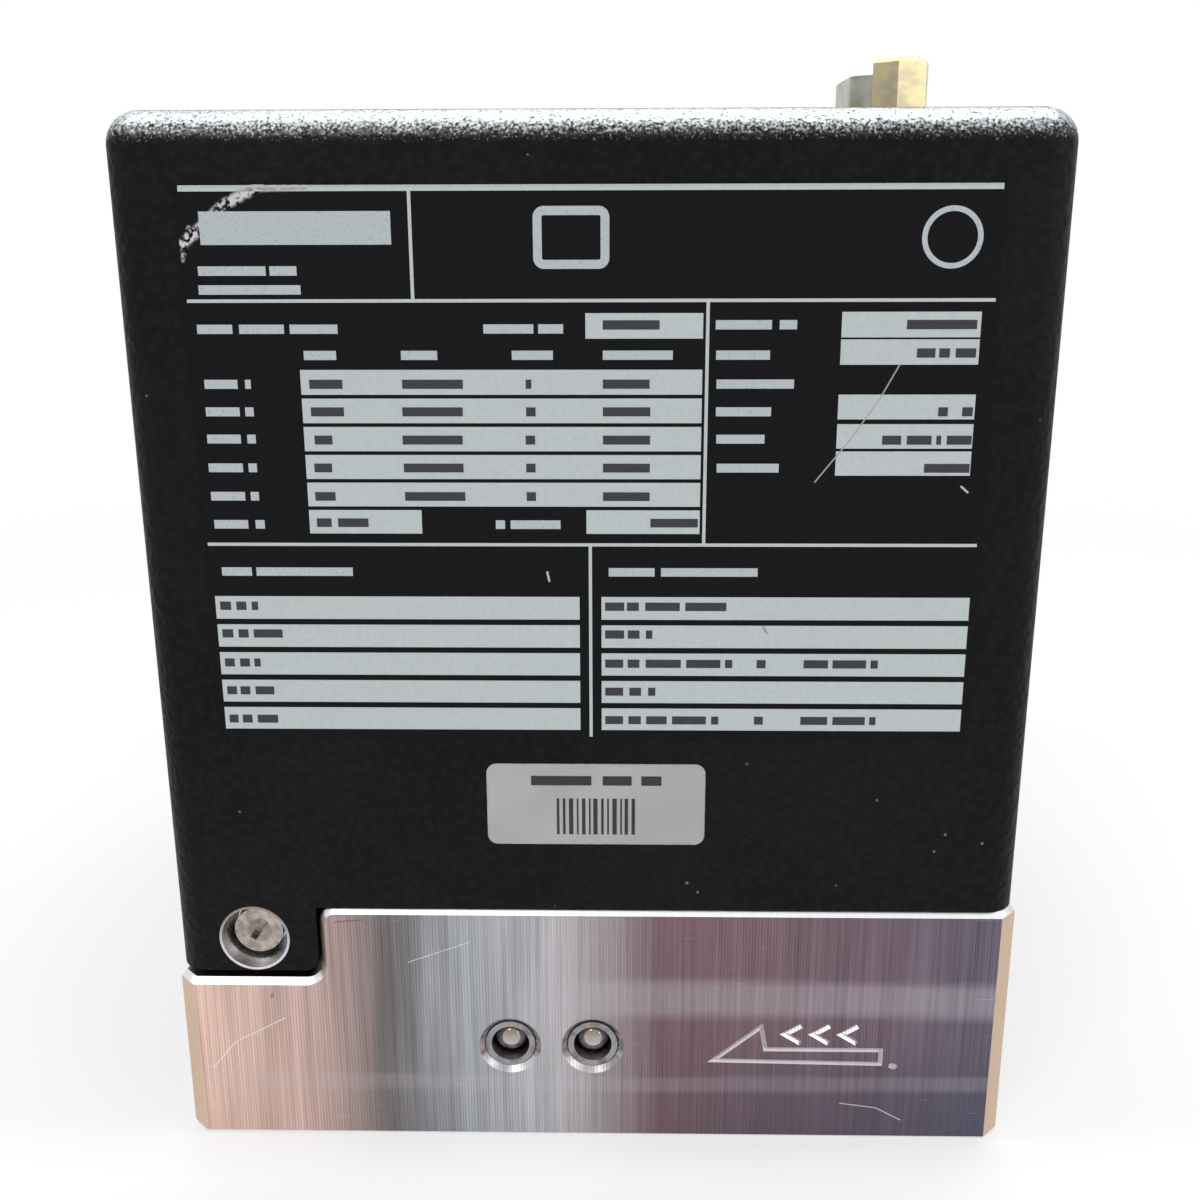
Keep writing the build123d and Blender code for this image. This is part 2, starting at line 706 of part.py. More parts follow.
# Connector: two shells with flanges, riveted back to back under the roof
def make_dsub_shell(flange_bottom, collar_from, collar_to):
    """A flange with a D-shaped collar through it, open at both ends."""
    with BuildPart() as shell:
        with BuildSketch(dsub_plane(flange_bottom)):
            RectangleRounded(DSUB_FLANGE_WIDTH, DSUB_FLANGE_LENGTH, DSUB_FLANGE_CORNER)
            with GridLocations(0, JACK_SPACING, 1, 2):
                Circle(JACK_HOLE_RADIUS, mode=Mode.SUBTRACT)
        extrude(amount=DSUB_FLANGE)
        with BuildSketch(dsub_plane(collar_from)):
            add(d_outline())
        extrude(amount=collar_to - collar_from)
        with BuildSketch(dsub_plane(collar_from)):
            add(d_outline(-DSUB_SHEET))
        extrude(amount=collar_to - collar_from, mode=Mode.SUBTRACT)
    return shell


dsub_rim = flange_top + DSUB_COLLAR
dsub_rear_rim = rear_flange_underside - DSUB_REAR_COLLAR
dsub_front_shell = make_dsub_shell(flange_underside, flange_underside, dsub_rim)
save(dsub_front_shell, "dsub_front_shell")
dsub_rear_shell = make_dsub_shell(rear_flange_underside, dsub_rear_rim, flange_underside)
save(dsub_rear_shell, "dsub_rear_shell")

dsub_pin_points = [
    (side * DSUB_ROW_SPACING / 2, pin_y)
    for side, pins in ((1, DSUB_LONG_ROW_COUNT), (-1, DSUB_SHORT_ROW_COUNT))
    for pin_y in row_places(pins, DSUB_PIN_PITCH)
]
insulator_bottom = dsub_rear_rim - DSUB_SHEET
insulator_top = dsub_rim - DSUB_FLOOR_DEPTH
with BuildPart() as dsub_insulator:
    with BuildSketch(dsub_plane(insulator_bottom)):
        add(d_outline(-DSUB_SHEET - RUNNING_GAP))
        with Locations(*dsub_pin_points):
            Circle(DSUB_PIN_RADIUS + RUNNING_GAP, mode=Mode.SUBTRACT)
    extrude(amount=insulator_top - insulator_bottom)
save(dsub_insulator, "dsub_insulator")

with BuildPart() as dsub_pins:
    tail_end = insulator_bottom - DSUB_TAIL_LENGTH
    with BuildSketch(dsub_plane(tail_end)):
        with Locations(*dsub_pin_points):
            Circle(DSUB_PIN_RADIUS)
    extrude(amount=dsub_rim - DSUB_PIN_TOP_BELOW_RIM - tail_end)
    pin_tips = dsub_pins.faces().filter_by(Axis.Z).group_by(Axis.Z)[-1].edges()
    chamfer(pin_tips, DSUB_PIN_RADIUS / 2)
save(dsub_pins, "dsub_pins")

# Jackscrews: hexagon posts on the roof, with a tapped hole and a shank down through it
with BuildPart() as jackscrews:
    with BuildSketch(dsub_plane(COVER_TOP)):
        with GridLocations(0, JACK_SPACING, 1, 2):
            RegularPolygon(JACK_FLATS / 2, 6, major_radius=False, rotation=JACK_TURN)
    extrude(amount=JACK_HEIGHT)
    hexagon_tops = jackscrews.faces().group_by(Axis.Z)[-1].edges()
    chamfer(hexagon_tops, JACK_EDGE_CHAMFER)
    shank_length = COVER_TOP - rear_flange_underside + M3_NUT_HEIGHT + RUNNING_GAP
    with BuildSketch(dsub_plane(COVER_TOP)):
        with GridLocations(0, JACK_SPACING, 1, 2):
            Circle(JACK_SHANK_RADIUS)
    extrude(amount=-shank_length)
    with BuildSketch(dsub_plane(COVER_TOP + JACK_HEIGHT)):
        with GridLocations(0, JACK_SPACING, 1, 2):
            Circle(M3_TAPPED_RADIUS)
    extrude(amount=-JACK_THREAD_DEPTH, mode=Mode.SUBTRACT)
save(jackscrews, "jackscrews")

jackscrew_nuts = make_nuts(
    Plane.XY.offset(rear_flange_underside - M3_NUT_HEIGHT),
    [(dsub_x, y) for y in jack_ys],
    JACK_SHANK_RADIUS + RUNNING_GAP,
)
save(jackscrew_nuts, "jackscrew_nuts")

# Data label with its printed fields and grid, and the serial sticker below it
with BuildPart() as data_label:
    with BuildSketch(front_plane(cover_front)):
        with Locations((0, LABEL_BOTTOM + LABEL_HEIGHT / 2)):
            RectangleRounded(LABEL_WIDTH, LABEL_HEIGHT, LABEL_CORNER)
    extrude(amount=LABEL_FILM)
save(data_label, "data_label")


def draw_field(left, top, width):
    """A printed field, placed from the label's lower left corner."""
    with Locations((left - LABEL_WIDTH / 2, LABEL_BOTTOM + top)):
        Rectangle(width, FIELD_HEIGHT, align=(Align.MIN, Align.MAX))


def draw_line(left, bottom, width, height):
    """A printed line of the grid, placed from the label's lower left corner."""
    with Locations((left - LABEL_WIDTH / 2, LABEL_BOTTOM + bottom)):
        Rectangle(width, height, align=(Align.MIN, Align.MIN))


grid_width = LABEL_WIDTH - 2 * GRID_MARGIN
grid_middle = LABEL_WIDTH - GRID_MIDDLE_RIGHT
grid_lower = LABEL_WIDTH / 2
article_left = grid_middle - FIELD_GAP - SHORT_FIELD_WIDTH
outlet_left = grid_lower + PORT_ROW_GAP
with BuildPart() as label_fields:
    with BuildSketch(front_plane(label_face)):
        draw_field(article_left, ARTICLE_TOP, SHORT_FIELD_WIDTH)
        draw_field(TABLE_LEFT, LIMITS_TOP, SHORT_FIELD_WIDTH)
        draw_field(article_left, LIMITS_TOP, SHORT_FIELD_WIDTH)
        for row in range(TABLE_ROWS):
            row_top = TABLE_TOP - row * TABLE_PITCH
            draw_field(TABLE_LEFT, row_top, grid_middle - FIELD_GAP - TABLE_LEFT)
        for top in RATING_TOPS:
            draw_field(LABEL_WIDTH - RATING_RIGHT - RATING_WIDTH, top, RATING_WIDTH)
        for row in range(CHANNEL_COUNT):
            row_top = PORT_ROW_TOP - row * PORT_ROW_PITCH
            draw_field(PORT_ROW_LEFT, row_top, grid_lower - PORT_ROW_GAP - PORT_ROW_LEFT)
            draw_field(outlet_left, row_top, LABEL_WIDTH - PORT_ROW_LEFT - outlet_left)
        for bottom in (GRID_LOW, GRID_HIGH, LABEL_HEIGHT - GRID_MARGIN - GRID_LINE):
            draw_line(GRID_MARGIN, bottom, grid_width, GRID_LINE)
        draw_line(GRID_TOP_LEFT, GRID_HIGH, GRID_LINE, LABEL_HEIGHT - GRID_HIGH - GRID_MARGIN)
        draw_line(grid_middle, GRID_LOW, GRID_LINE, GRID_HIGH - GRID_LOW)
        draw_line(grid_lower - GRID_LINE / 2, GRID_MARGIN, GRID_LINE, GRID_LOW - GRID_MARGIN)
    extrude(amount=PRINT_FILM)
save(label_fields, "label_fields")

with BuildPart() as serial_label:
    with BuildSketch(front_plane(cover_front)):
        with Locations((STICKER_CENTRE_X, STICKER_BOTTOM + STICKER_HEIGHT / 2)):
            RectangleRounded(STICKER_WIDTH, STICKER_HEIGHT, STICKER_CORNER)
    extrude(amount=STICKER_FILM)
save(serial_label, "serial_label")

# Main board: it stands on edge and the connector's tails straddle its top
link_pin_ys = row_places(LINK_PINS, SOCKET_PITCH)
socket_pin_ys = row_places(SOCKET_PINS, SOCKET_PITCH)
link_pin_z = valve_board_top + LINK_HEIGHT / 2
with BuildPart() as main_board:
    with BuildSketch(side_plane(board_left_face)):
        with Locations((main_board_front, MAIN_BOARD_BOTTOM)):
            Rectangle(
                main_board_back - main_board_front,
                MAIN_BOARD_TOP - MAIN_BOARD_BOTTOM,
                align=(Align.MIN, Align.MIN),
            )
        with Locations(*[(y, bracket_screw_z) for y in between_channel_ys]):
            Circle(M3_CLEARANCE_RADIUS, mode=Mode.SUBTRACT)
        with Locations(*[(y + dy, sensor_pin_z) for y in channel_ys for dy in socket_pin_ys]):
            Circle(PIN_HOLE_RADIUS, mode=Mode.SUBTRACT)
        with Locations(*[(y, link_pin_z) for y in link_pin_ys]):
            Circle(PIN_HOLE_RADIUS, mode=Mode.SUBTRACT)
    extrude(amount=BOARD_THICKNESS)
save(main_board, "main_board")

# Chips on the main board's right face
with BuildPart() as board_chips:
    for along, up, size_y, size_z, height in CHIPS:
        with BuildSketch(side_plane(board_right_face)):
            with Locations((main_board_front + along, MAIN_BOARD_BOTTOM + up)):
                Rectangle(size_y, size_z)
        extrude(amount=height)
save(board_chips, "board_chips")

# Brackets that stand the main board on the block
for node, y in zip(("board_bracket_front", "board_bracket_rear"), between_channel_ys):
    with BuildPart() as bracket:
        with BuildSketch(front_plane(y)):
            with BuildLine():
                Polyline(
                    (board_right_face, plateau_top),
                    (board_right_face + BRACKET_FOOT, plateau_top),
                    (board_right_face + BRACKET_FOOT, plateau_top + BRACKET_SHEET),
                    (board_right_face + BRACKET_SHEET, plateau_top + BRACKET_SHEET),
                    (board_right_face + BRACKET_SHEET, plateau_top + BRACKET_HEIGHT),
                    (board_right_face, plateau_top + BRACKET_HEIGHT),
                    close=True,
                )
            make_face()
        extrude(amount=BRACKET_WIDTH / 2, both=True)
        bend_edges = bracket.edges().filter_by(Axis.Y)
        inner_bend = [
            edge
            for edge in bend_edges
            if abs(edge.center().X - board_right_face - BRACKET_SHEET) < NEAR
            and abs(edge.center().Z - plateau_top - BRACKET_SHEET) < NEAR
        ]
        outer_bend = [
            edge
            for edge in bend_edges
            if abs(edge.center().X - board_right_face) < NEAR
            and abs(edge.center().Z - plateau_top) < NEAR
        ]
        fillet(inner_bend, BRACKET_BEND)
        fillet(outer_bend, BRACKET_BEND + BRACKET_SHEET)
        with Locations((bracket_screw_x, y, plateau_top + BRACKET_SHEET)):
            Hole(M3_CLEARANCE_RADIUS, BRACKET_SHEET)
        leg_hole = Plane(
            origin=(board_right_face + BRACKET_SHEET, y, bracket_screw_z), z_dir=(1, 0, 0)
        )
        with Locations(leg_hole):
            Hole(M3_CLEARANCE_RADIUS, BRACKET_SHEET)
    save(bracket, node)

bracket_screws = make_screws(
    Plane.XY.offset(plateau_top + BRACKET_SHEET), bracket_foot_points, BRACKET_SHEET + M3_GRIP
)
save(bracket_screws, "bracket_screws")

board_screw_points = [(y, bracket_screw_z) for y in between_channel_ys]
board_screws = make_screws(
    side_plane(board_right_face + BRACKET_SHEET),
    board_screw_points,
    BRACKET_SHEET + BOARD_THICKNESS + M3_NUT_HEIGHT + RUNNING_GAP,
)
save(board_screws, "board_screws")
board_nuts = make_nuts(
    side_plane(board_left_face - M3_NUT_HEIGHT), board_screw_points, M3_TAPPED_RADIUS
)
save(board_nuts, "board_nuts")

# Valve board: it lies over the coils, on four pillars
coil_pin_points = [
    (valve_x - COIL_PIN_OFFSET_X, y + side * COIL_PIN_OFFSET_Y)
    for y in channel_ys
    for side in turns
]
link_tail_x = board_left_face - LINK_WIDTH + SOCKET_PITCH
valve_board_left = -BLOCK_WIDTH / 2 + VALVE_BOARD_FROM_SIDE
with BuildPart() as valve_board:
    with BuildSketch(Plane.XY.offset(valve_board_z)):
        with Locations((valve_board_left, 0)):
            Rectangle(
                valve_board_right - valve_board_left,
                inner_depth - 2 * VALVE_BOARD_WALL_GAP,
                align=(Align.MIN, Align.CENTER),
            )
        with Locations(*pillar_points):
            Circle(M3_CLEARANCE_RADIUS, mode=Mode.SUBTRACT)
        with Locations(*coil_pin_points):
            Circle(PIN_HOLE_RADIUS, mode=Mode.SUBTRACT)
        with Locations(*[(link_tail_x, y) for y in link_pin_ys]):
            Circle(PIN_HOLE_RADIUS, mode=Mode.SUBTRACT)
    extrude(amount=BOARD_THICKNESS)
save(valve_board, "valve_board")

with BuildPart() as board_pillars:
    with BuildSketch(Plane.XY.offset(plateau_top)):
        with Locations(*pillar_points):
            RegularPolygon(PILLAR_FLATS / 2, 6, major_radius=False)
    extrude(amount=VALVE_BOARD_HEIGHT)
    with BuildSketch(Plane.XY.offset(valve_board_z)):
        with Locations(*pillar_points):
            Circle(M3_TAPPED_RADIUS)
    extrude(amount=-tapped_depth, mode=Mode.SUBTRACT)
    with BuildSketch(Plane.XY.offset(plateau_top)):
        with Locations(*pillar_points):
            Circle(M3_CORE_RADIUS)
    extrude(amount=-PILLAR_STUD)
save(board_pillars, "board_pillars")

pillar_screws = make_screws(
    Plane.XY.offset(valve_board_top), pillar_points, BOARD_THICKNESS + M3_GRIP
)
save(pillar_screws, "pillar_screws")

# Link connector: it sits in the corner between the two boards, with pins into both
with BuildPart() as link_connector:
    with BuildSketch(Plane.XY.offset(valve_board_top)):
        with Locations((board_left_face, 0)):
            Rectangle(LINK_WIDTH, LINK_LENGTH, align=(Align.MAX, Align.CENTER))
    extrude(amount=LINK_HEIGHT)
    with BuildSketch(Plane.XY.offset(valve_board_top)):
        with Locations(*[(link_tail_x, y) for y in link_pin_ys]):
            Rectangle(PIN_SIZE, PIN_SIZE)
    extrude(amount=-BOARD_THICKNESS - PIN_SIZE)
    with BuildSketch(side_plane(board_left_face)):
        with Locations(*[(y, link_pin_z) for y in link_pin_ys]):
            Rectangle(PIN_SIZE, PIN_SIZE)
    extrude(amount=BOARD_THICKNESS + PIN_SIZE)
save(link_connector, "link_connector")

# Sockets on the main board's left face, one for each sensor's pins
with BuildPart() as sensor_sockets:
    with BuildSketch(side_plane(board_left_face)):
        with Locations(*[(y, sensor_pin_z) for y in channel_ys]):
            Rectangle(SOCKET_WIDTH, SOCKET_HEIGHT)
    extrude(amount=-SOCKET_DEPTH)
    socket_pins = [(y + dy, sensor_pin_z) for y in channel_ys for dy in socket_pin_ys]
    with BuildSketch(side_plane(board_left_face - SOCKET_DEPTH)):
        with Locations(*socket_pins):
            Rectangle(PIN_SIZE + 2 * RUNNING_GAP, PIN_SIZE + 2 * RUNNING_GAP)
    extrude(amount=SENSOR_PIN_REACH + RUNNING_GAP, mode=Mode.SUBTRACT)
    with BuildSketch(side_plane(board_left_face)):
        with Locations(*socket_pins):
            Rectangle(PIN_SIZE, PIN_SIZE)
    extrude(amount=BOARD_THICKNESS + PIN_SIZE)
save(sensor_sockets, "sensor_sockets")

# Flow sensors: a base with two sealed ports and a closed tower with four pins
socket_mouth = board_left_face - SOCKET_DEPTH
for channel, y in enumerate(channel_ys, start=1):
    base_plane = Plane(origin=(sensor_x, y, plateau_top))
    with BuildPart() as flow_sensor:
        with BuildSketch(base_plane.offset(SENSOR_BASE)):
            Rectangle(sensor_tower_length, SENSOR_WIDTH)
        extrude(amount=SENSOR_TOWER_HEIGHT - SENSOR_BASE)
        fillet(flow_sensor.faces().sort_by(Axis.Z)[-1].edges(), SENSOR_TOWER_FILLET)
        with BuildSketch(base_plane):
            RectangleRounded(SENSOR_LENGTH, SENSOR_WIDTH, SENSOR_CORNER)
        extrude(amount=SENSOR_BASE)
        with BuildSketch(base_plane):
            with GridLocations(sensor_port_spacing, 0, 2, 1):
                Circle(SMALL_SEAL_RADIUS + SEAL_SECTION_RADIUS)
        extrude(amount=seal_groove_depth, mode=Mode.SUBTRACT)
        with BuildSketch(base_plane):
            with GridLocations(sensor_port_spacing, 0, 2, 1):
                Circle(SENSOR_PORT_RADIUS)
        extrude(amount=SENSOR_BASE, mode=Mode.SUBTRACT)
        with BuildSketch(base_plane):
            for side in turns:
                with Locations((side * sensor_screw_spacing / 2, -side * SENSOR_SCREW_OFFSET)):
                    Circle(M3_CLEARANCE_RADIUS)
        extrude(amount=SENSOR_BASE, mode=Mode.SUBTRACT)
        with BuildSketch(side_plane(sensor_right)):
            with Locations(*[(y + dy, sensor_pin_z) for dy in socket_pin_ys]):
                Rectangle(PIN_SIZE, PIN_SIZE)
        extrude(amount=socket_mouth - sensor_right + SENSOR_PIN_REACH)
    save(flow_sensor, f"flow_sensor_{channel}")

sensor_screws = make_screws(
    Plane.XY.offset(plateau_top + SENSOR_BASE), sensor_screw_points, SENSOR_BASE + M3_GRIP
)
save(sensor_screws, "sensor_screws")

# Seals: O-rings that just fill the depth of their grooves
seal_middle_z = plateau_top + SEAL_SECTION_RADIUS
with BuildPart() as sensor_seals:
    for x in (sensor_inlet_x, sensor_outlet_x):
        with Locations(*[(x, y, seal_middle_z) for y in channel_ys]):
            Torus(SMALL_SEAL_RADIUS, SEAL_SECTION_RADIUS)
save(sensor_seals, "sensor_seals")

with BuildPart() as valve_seals:
    with Locations(*[(x, y, seal_middle_z) for x, y in valve_points]):
        Torus(SMALL_SEAL_RADIUS, SEAL_SECTION_RADIUS)
        Torus(LARGE_SEAL_RADIUS, SEAL_SECTION_RADIUS)
save(valve_seals, "valve_seals")

# Valves: gas comes up between the two seals, round the nozzle, and leaves down through it
for channel, y in enumerate(channel_ys, start=1):
    valve_plane = Plane(origin=(valve_x, y, plateau_top))

    with BuildPart() as valve_body:
        with BuildSketch(valve_plane):
            RectangleRounded(VALVE_LENGTH, VALVE_WIDTH, VALVE_CORNER)
            for side in turns:
                with Locations((side * valve_screw_spacing / 2, -side * VALVE_SCREW_OFFSET)):
                    Circle(M3_CLEARANCE_RADIUS, mode=Mode.SUBTRACT)
        extrude(amount=VALVE_PLATE)
        with BuildSketch(valve_plane):
            Circle(VALVE_BOSS_RADIUS)
        extrude(amount=VALVE_BOSS_TOP)
        with BuildSketch(valve_plane.offset(VALVE_CHAMBER_FLOOR)):
            Circle(VALVE_CHAMBER_RADIUS)
        extrude(amount=VALVE_BOSS_TOP - VALVE_CHAMBER_FLOOR, mode=Mode.SUBTRACT)
        with BuildSketch(valve_plane):
            Circle(NOZZLE_RADIUS)
        extrude(amount=NOZZLE_TOP)
        with BuildSketch(valve_plane):
            Circle(ORIFICE_RADIUS)
        extrude(amount=NOZZLE_TOP, mode=Mode.SUBTRACT)
        with BuildSketch(valve_plane):
            with Locations((VALVE_INLET_OFFSET, 0)):
                Circle(VALVE_INLET_RADIUS)
        extrude(amount=VALVE_CHAMBER_FLOOR, mode=Mode.SUBTRACT)
        with BuildSketch(valve_plane):
            Circle(SMALL_SEAL_RADIUS + SEAL_SECTION_RADIUS)
            Circle(SMALL_SEAL_RADIUS - SEAL_SECTION_RADIUS, mode=Mode.SUBTRACT)
        extrude(amount=seal_groove_depth, mode=Mode.SUBTRACT)
        with BuildSketch(valve_plane):
            Circle(LARGE_SEAL_RADIUS + SEAL_SECTION_RADIUS)
            Circle(LARGE_SEAL_RADIUS - SEAL_SECTION_RADIUS, mode=Mode.SUBTRACT)
        extrude(amount=seal_groove_depth, mode=Mode.SUBTRACT)
    save(valve_body, f"valve_body_{channel}")

    # The flat spring's rim is clamped on the body, and its hub lifts with the plunger
    with BuildPart() as valve_spring:
        with BuildSketch(valve_plane.offset(VALVE_BOSS_TOP)):
            Circle(VALVE_BOSS_RADIUS)
            Circle(PLUNGER_STEM_RADIUS + RUNNING_GAP, mode=Mode.SUBTRACT)
            with PolarLocations(0, SPRING_ARMS):
                slot_path = CenterArc(
                    (0, 0), SPRING_SLOT_RADIUS, 0, SPRING_SLOT_SWEEP, mode=Mode.PRIVATE
                )
                SlotArc(slot_path, SPRING_SLOT_WIDTH, mode=Mode.SUBTRACT)
        extrude(amount=SPRING_THICKNESS)
    save(valve_spring, f"valve_spring_{channel}")

    with BuildPart() as valve_plunger:
        with BuildSketch(valve_plane.offset(NOZZLE_TOP)):
            Circle(PLUNGER_STEM_RADIUS)
        extrude(amount=core_seat - NOZZLE_TOP)
        with BuildSketch(valve_plane.offset(core_seat)):
            Circle(PLUNGER_RADIUS)
        extrude(amount=PLUNGER_TOP - core_seat)
        chamfer(valve_plunger.faces().sort_by(Axis.Z)[-1].edges(), PLUNGER_CHAMFER)
    save(valve_plunger, f"valve_plunger_{channel}")

    with BuildPart() as valve_coil:
        with BuildSketch(valve_plane.offset(coil_seat)):
            Circle(COIL_RADIUS)
        extrude(amount=COIL_TOP - coil_seat)
        fillet(valve_coil.faces().filter_by(Axis.Z).edges(), COIL_FILLET)
        with BuildSketch(valve_plane.offset(coil_seat)):
            Circle(core_outer_radius + COIL_WALL_GAP)
        extrude(amount=COIL_TOP - COIL_CAP - coil_seat, mode=Mode.SUBTRACT)
        with BuildSketch(valve_plane.offset(COIL_TOP - COIL_CAP)):
            Circle(M3_CLEARANCE_RADIUS)
        extrude(amount=COIL_CAP, mode=Mode.SUBTRACT)
        with BuildSketch(valve_plane.offset(COIL_TOP)):
            for side in turns:
                with Locations((-COIL_PIN_OFFSET_X, side * COIL_PIN_OFFSET_Y)):
                    Circle(COIL_PIN_RADIUS)
        extrude(amount=VALVE_BOARD_HEIGHT + BOARD_THICKNESS + PIN_SIZE - COIL_TOP)
    save(valve_coil, f"valve_coil_{channel}")

# Core tubes: each closes its valve, guides the plunger and stops it at the pole face
valve_level = Plane(origin=(0, 0, plateau_top))
with BuildPart() as valve_cores:
    with BuildSketch(valve_level.offset(core_seat)):
        with Locations(*valve_points):
            Circle(VALVE_BOSS_RADIUS)
    extrude(amount=CORE_FLANGE)
    with BuildSketch(valve_level.offset(core_seat)):
        with Locations(*valve_points):
            Circle(core_outer_radius)
    extrude(amount=core_shoulder - core_seat)
    with BuildSketch(valve_level.offset(core_seat)):
        with Locations(*valve_points):
            Circle(core_inner_radius)
    extrude(amount=pole_face - core_seat, mode=Mode.SUBTRACT)
    with BuildSketch(valve_level.offset(core_shoulder)):
        with Locations(*valve_points):
            Circle(M3_CORE_RADIUS)
    extrude(amount=COIL_TOP + M3_NUT_HEIGHT + STUD_END - core_shoulder)
save(valve_cores, "valve_cores")

coil_nuts = make_nuts(valve_level.offset(COIL_TOP), valve_points, M3_TAPPED_RADIUS)
save(coil_nuts, "coil_nuts")

valve_screws = make_screws(
    valve_level.offset(VALVE_PLATE), valve_screw_points, VALVE_PLATE + M3_GRIP
)
save(valve_screws, "valve_screws")
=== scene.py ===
import json
import math

import bmesh
import bpy
from mathutils import Matrix, Vector


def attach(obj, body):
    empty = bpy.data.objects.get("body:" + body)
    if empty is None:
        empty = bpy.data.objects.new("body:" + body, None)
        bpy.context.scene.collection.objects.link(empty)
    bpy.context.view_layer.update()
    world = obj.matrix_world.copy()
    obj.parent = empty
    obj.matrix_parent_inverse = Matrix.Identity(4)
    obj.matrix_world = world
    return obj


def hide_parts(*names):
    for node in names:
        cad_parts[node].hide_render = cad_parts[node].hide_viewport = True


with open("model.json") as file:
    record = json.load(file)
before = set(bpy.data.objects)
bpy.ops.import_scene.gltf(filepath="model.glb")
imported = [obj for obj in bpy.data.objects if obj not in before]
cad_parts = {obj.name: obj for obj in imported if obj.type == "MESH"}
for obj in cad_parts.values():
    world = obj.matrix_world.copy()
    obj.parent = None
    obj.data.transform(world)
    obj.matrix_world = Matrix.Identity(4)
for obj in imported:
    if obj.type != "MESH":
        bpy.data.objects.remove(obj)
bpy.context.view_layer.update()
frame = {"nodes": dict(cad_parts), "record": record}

# Looks of a five-channel mass flow controller. Blender's own lengths are metres; the
# lengths written here are millimetres, and MM turns them into metres.
MM = 0.001
WELD = 0.0005
scene = bpy.context.scene
nodes = frame["nodes"]
body_of_node = {
    node: body
    for body, members in frame["record"]["behaviour"]["bodies"].items()
    for node in members
}
slot_of_node = {part["node"]: part["material_slot"] for part in frame["record"]["subparts"]}

BLOCK_FRONT = -55.0
LABEL_FRONT = -54.85
FIELD_FRONT = -54.89
STICKER_FRONT = -54.8
INK = 0.02

MILLING_PITCH = 0.36
GRAIN = 0.75
PORT_THREAD_PITCH = 0.907
PORT_THREAD_LENGTH = 8.0
PORT_BORE = 4.4
FOOT_THREAD_PITCH = 0.7
FOOT_THREAD_LENGTH = 7.0
FOOT_BORE = 1.65
FLOW_HEIGHT = 12.7
THREAD_START = 49.2
SCREW_OFF_MIDDLE = 40.2
SCREW_HEIGHT = 26.9
STICKER_MIDDLE = (0.5, 44.5)
STICKER_HALF = (12.5, 5.0)
CHANNELS = (-40.0, -20.0, 0.0, 20.0, 40.0)
FEET = ((-40.0, -35.0), (40.0, -35.0), (-40.0, 35.0), (40.0, 35.0))

# Half arrow cut in the front of the block: corners as (x, z), and the three chevrons
# in the place beside it
ARROW = ((14.6, 10.9), (20.3, 15.6), (20.9, 12.5), (34.8, 12.5), (34.8, 10.6))
ARROW_GROOVE = 0.55
CHEVRON_TIPS = (23.2, 26.6, 30.0)
CHEVRON_MIDDLE = 14.6
CHEVRON_SIZE = (1.9, 1.2)
CHEVRON_GROOVE = 0.7
GROOVE_DEPTH = 0.3

# Plain bars where the print has words: height of the row, then left edge and width of each
WORD_HEIGHT = 0.95
WHITE_WORDS = (
    (98.2, ((-40.9, 3.7), (-36.5, 4.7), (-31.2, 5.0), (-11.0, 5.2), (-5.3, 2.6))),
    (98.6, ((13.1, 5.8), (19.7, 1.8))),
    (95.5, ((-29.9, 3.4), (-19.7, 3.8), (-8.1, 4.3), (1.4, 7.3), (13.2, 5.6))),
    (92.5, ((-40.6, 3.5), (-36.3, 0.6), (13.3, 8.1))),
    (89.6, ((-40.7, 3.6), (-36.5, 0.9), (13.3, 5.8))),
    (86.7, ((-40.8, 3.6), (-36.5, 0.9), (13.4, 5.1))),
    (83.6, ((-40.9, 3.7), (-36.6, 0.9), (13.5, 6.6))),
    (80.5, ((-40.9, 3.7), (-36.6, 0.9))),
    (77.4, ((-40.8, 3.7), (-36.3, 1.0), (-10.2, 1.0), (-8.6, 5.4))),
    (72.1, ((-40.4, 3.3), (-36.6, 10.6), (2.0, 5.0), (7.7, 10.5))),
    (104.1, ((-40.3, 7.0), (-32.9, 2.8))),
    (102.2, ((-40.4, 10.6),)),
)
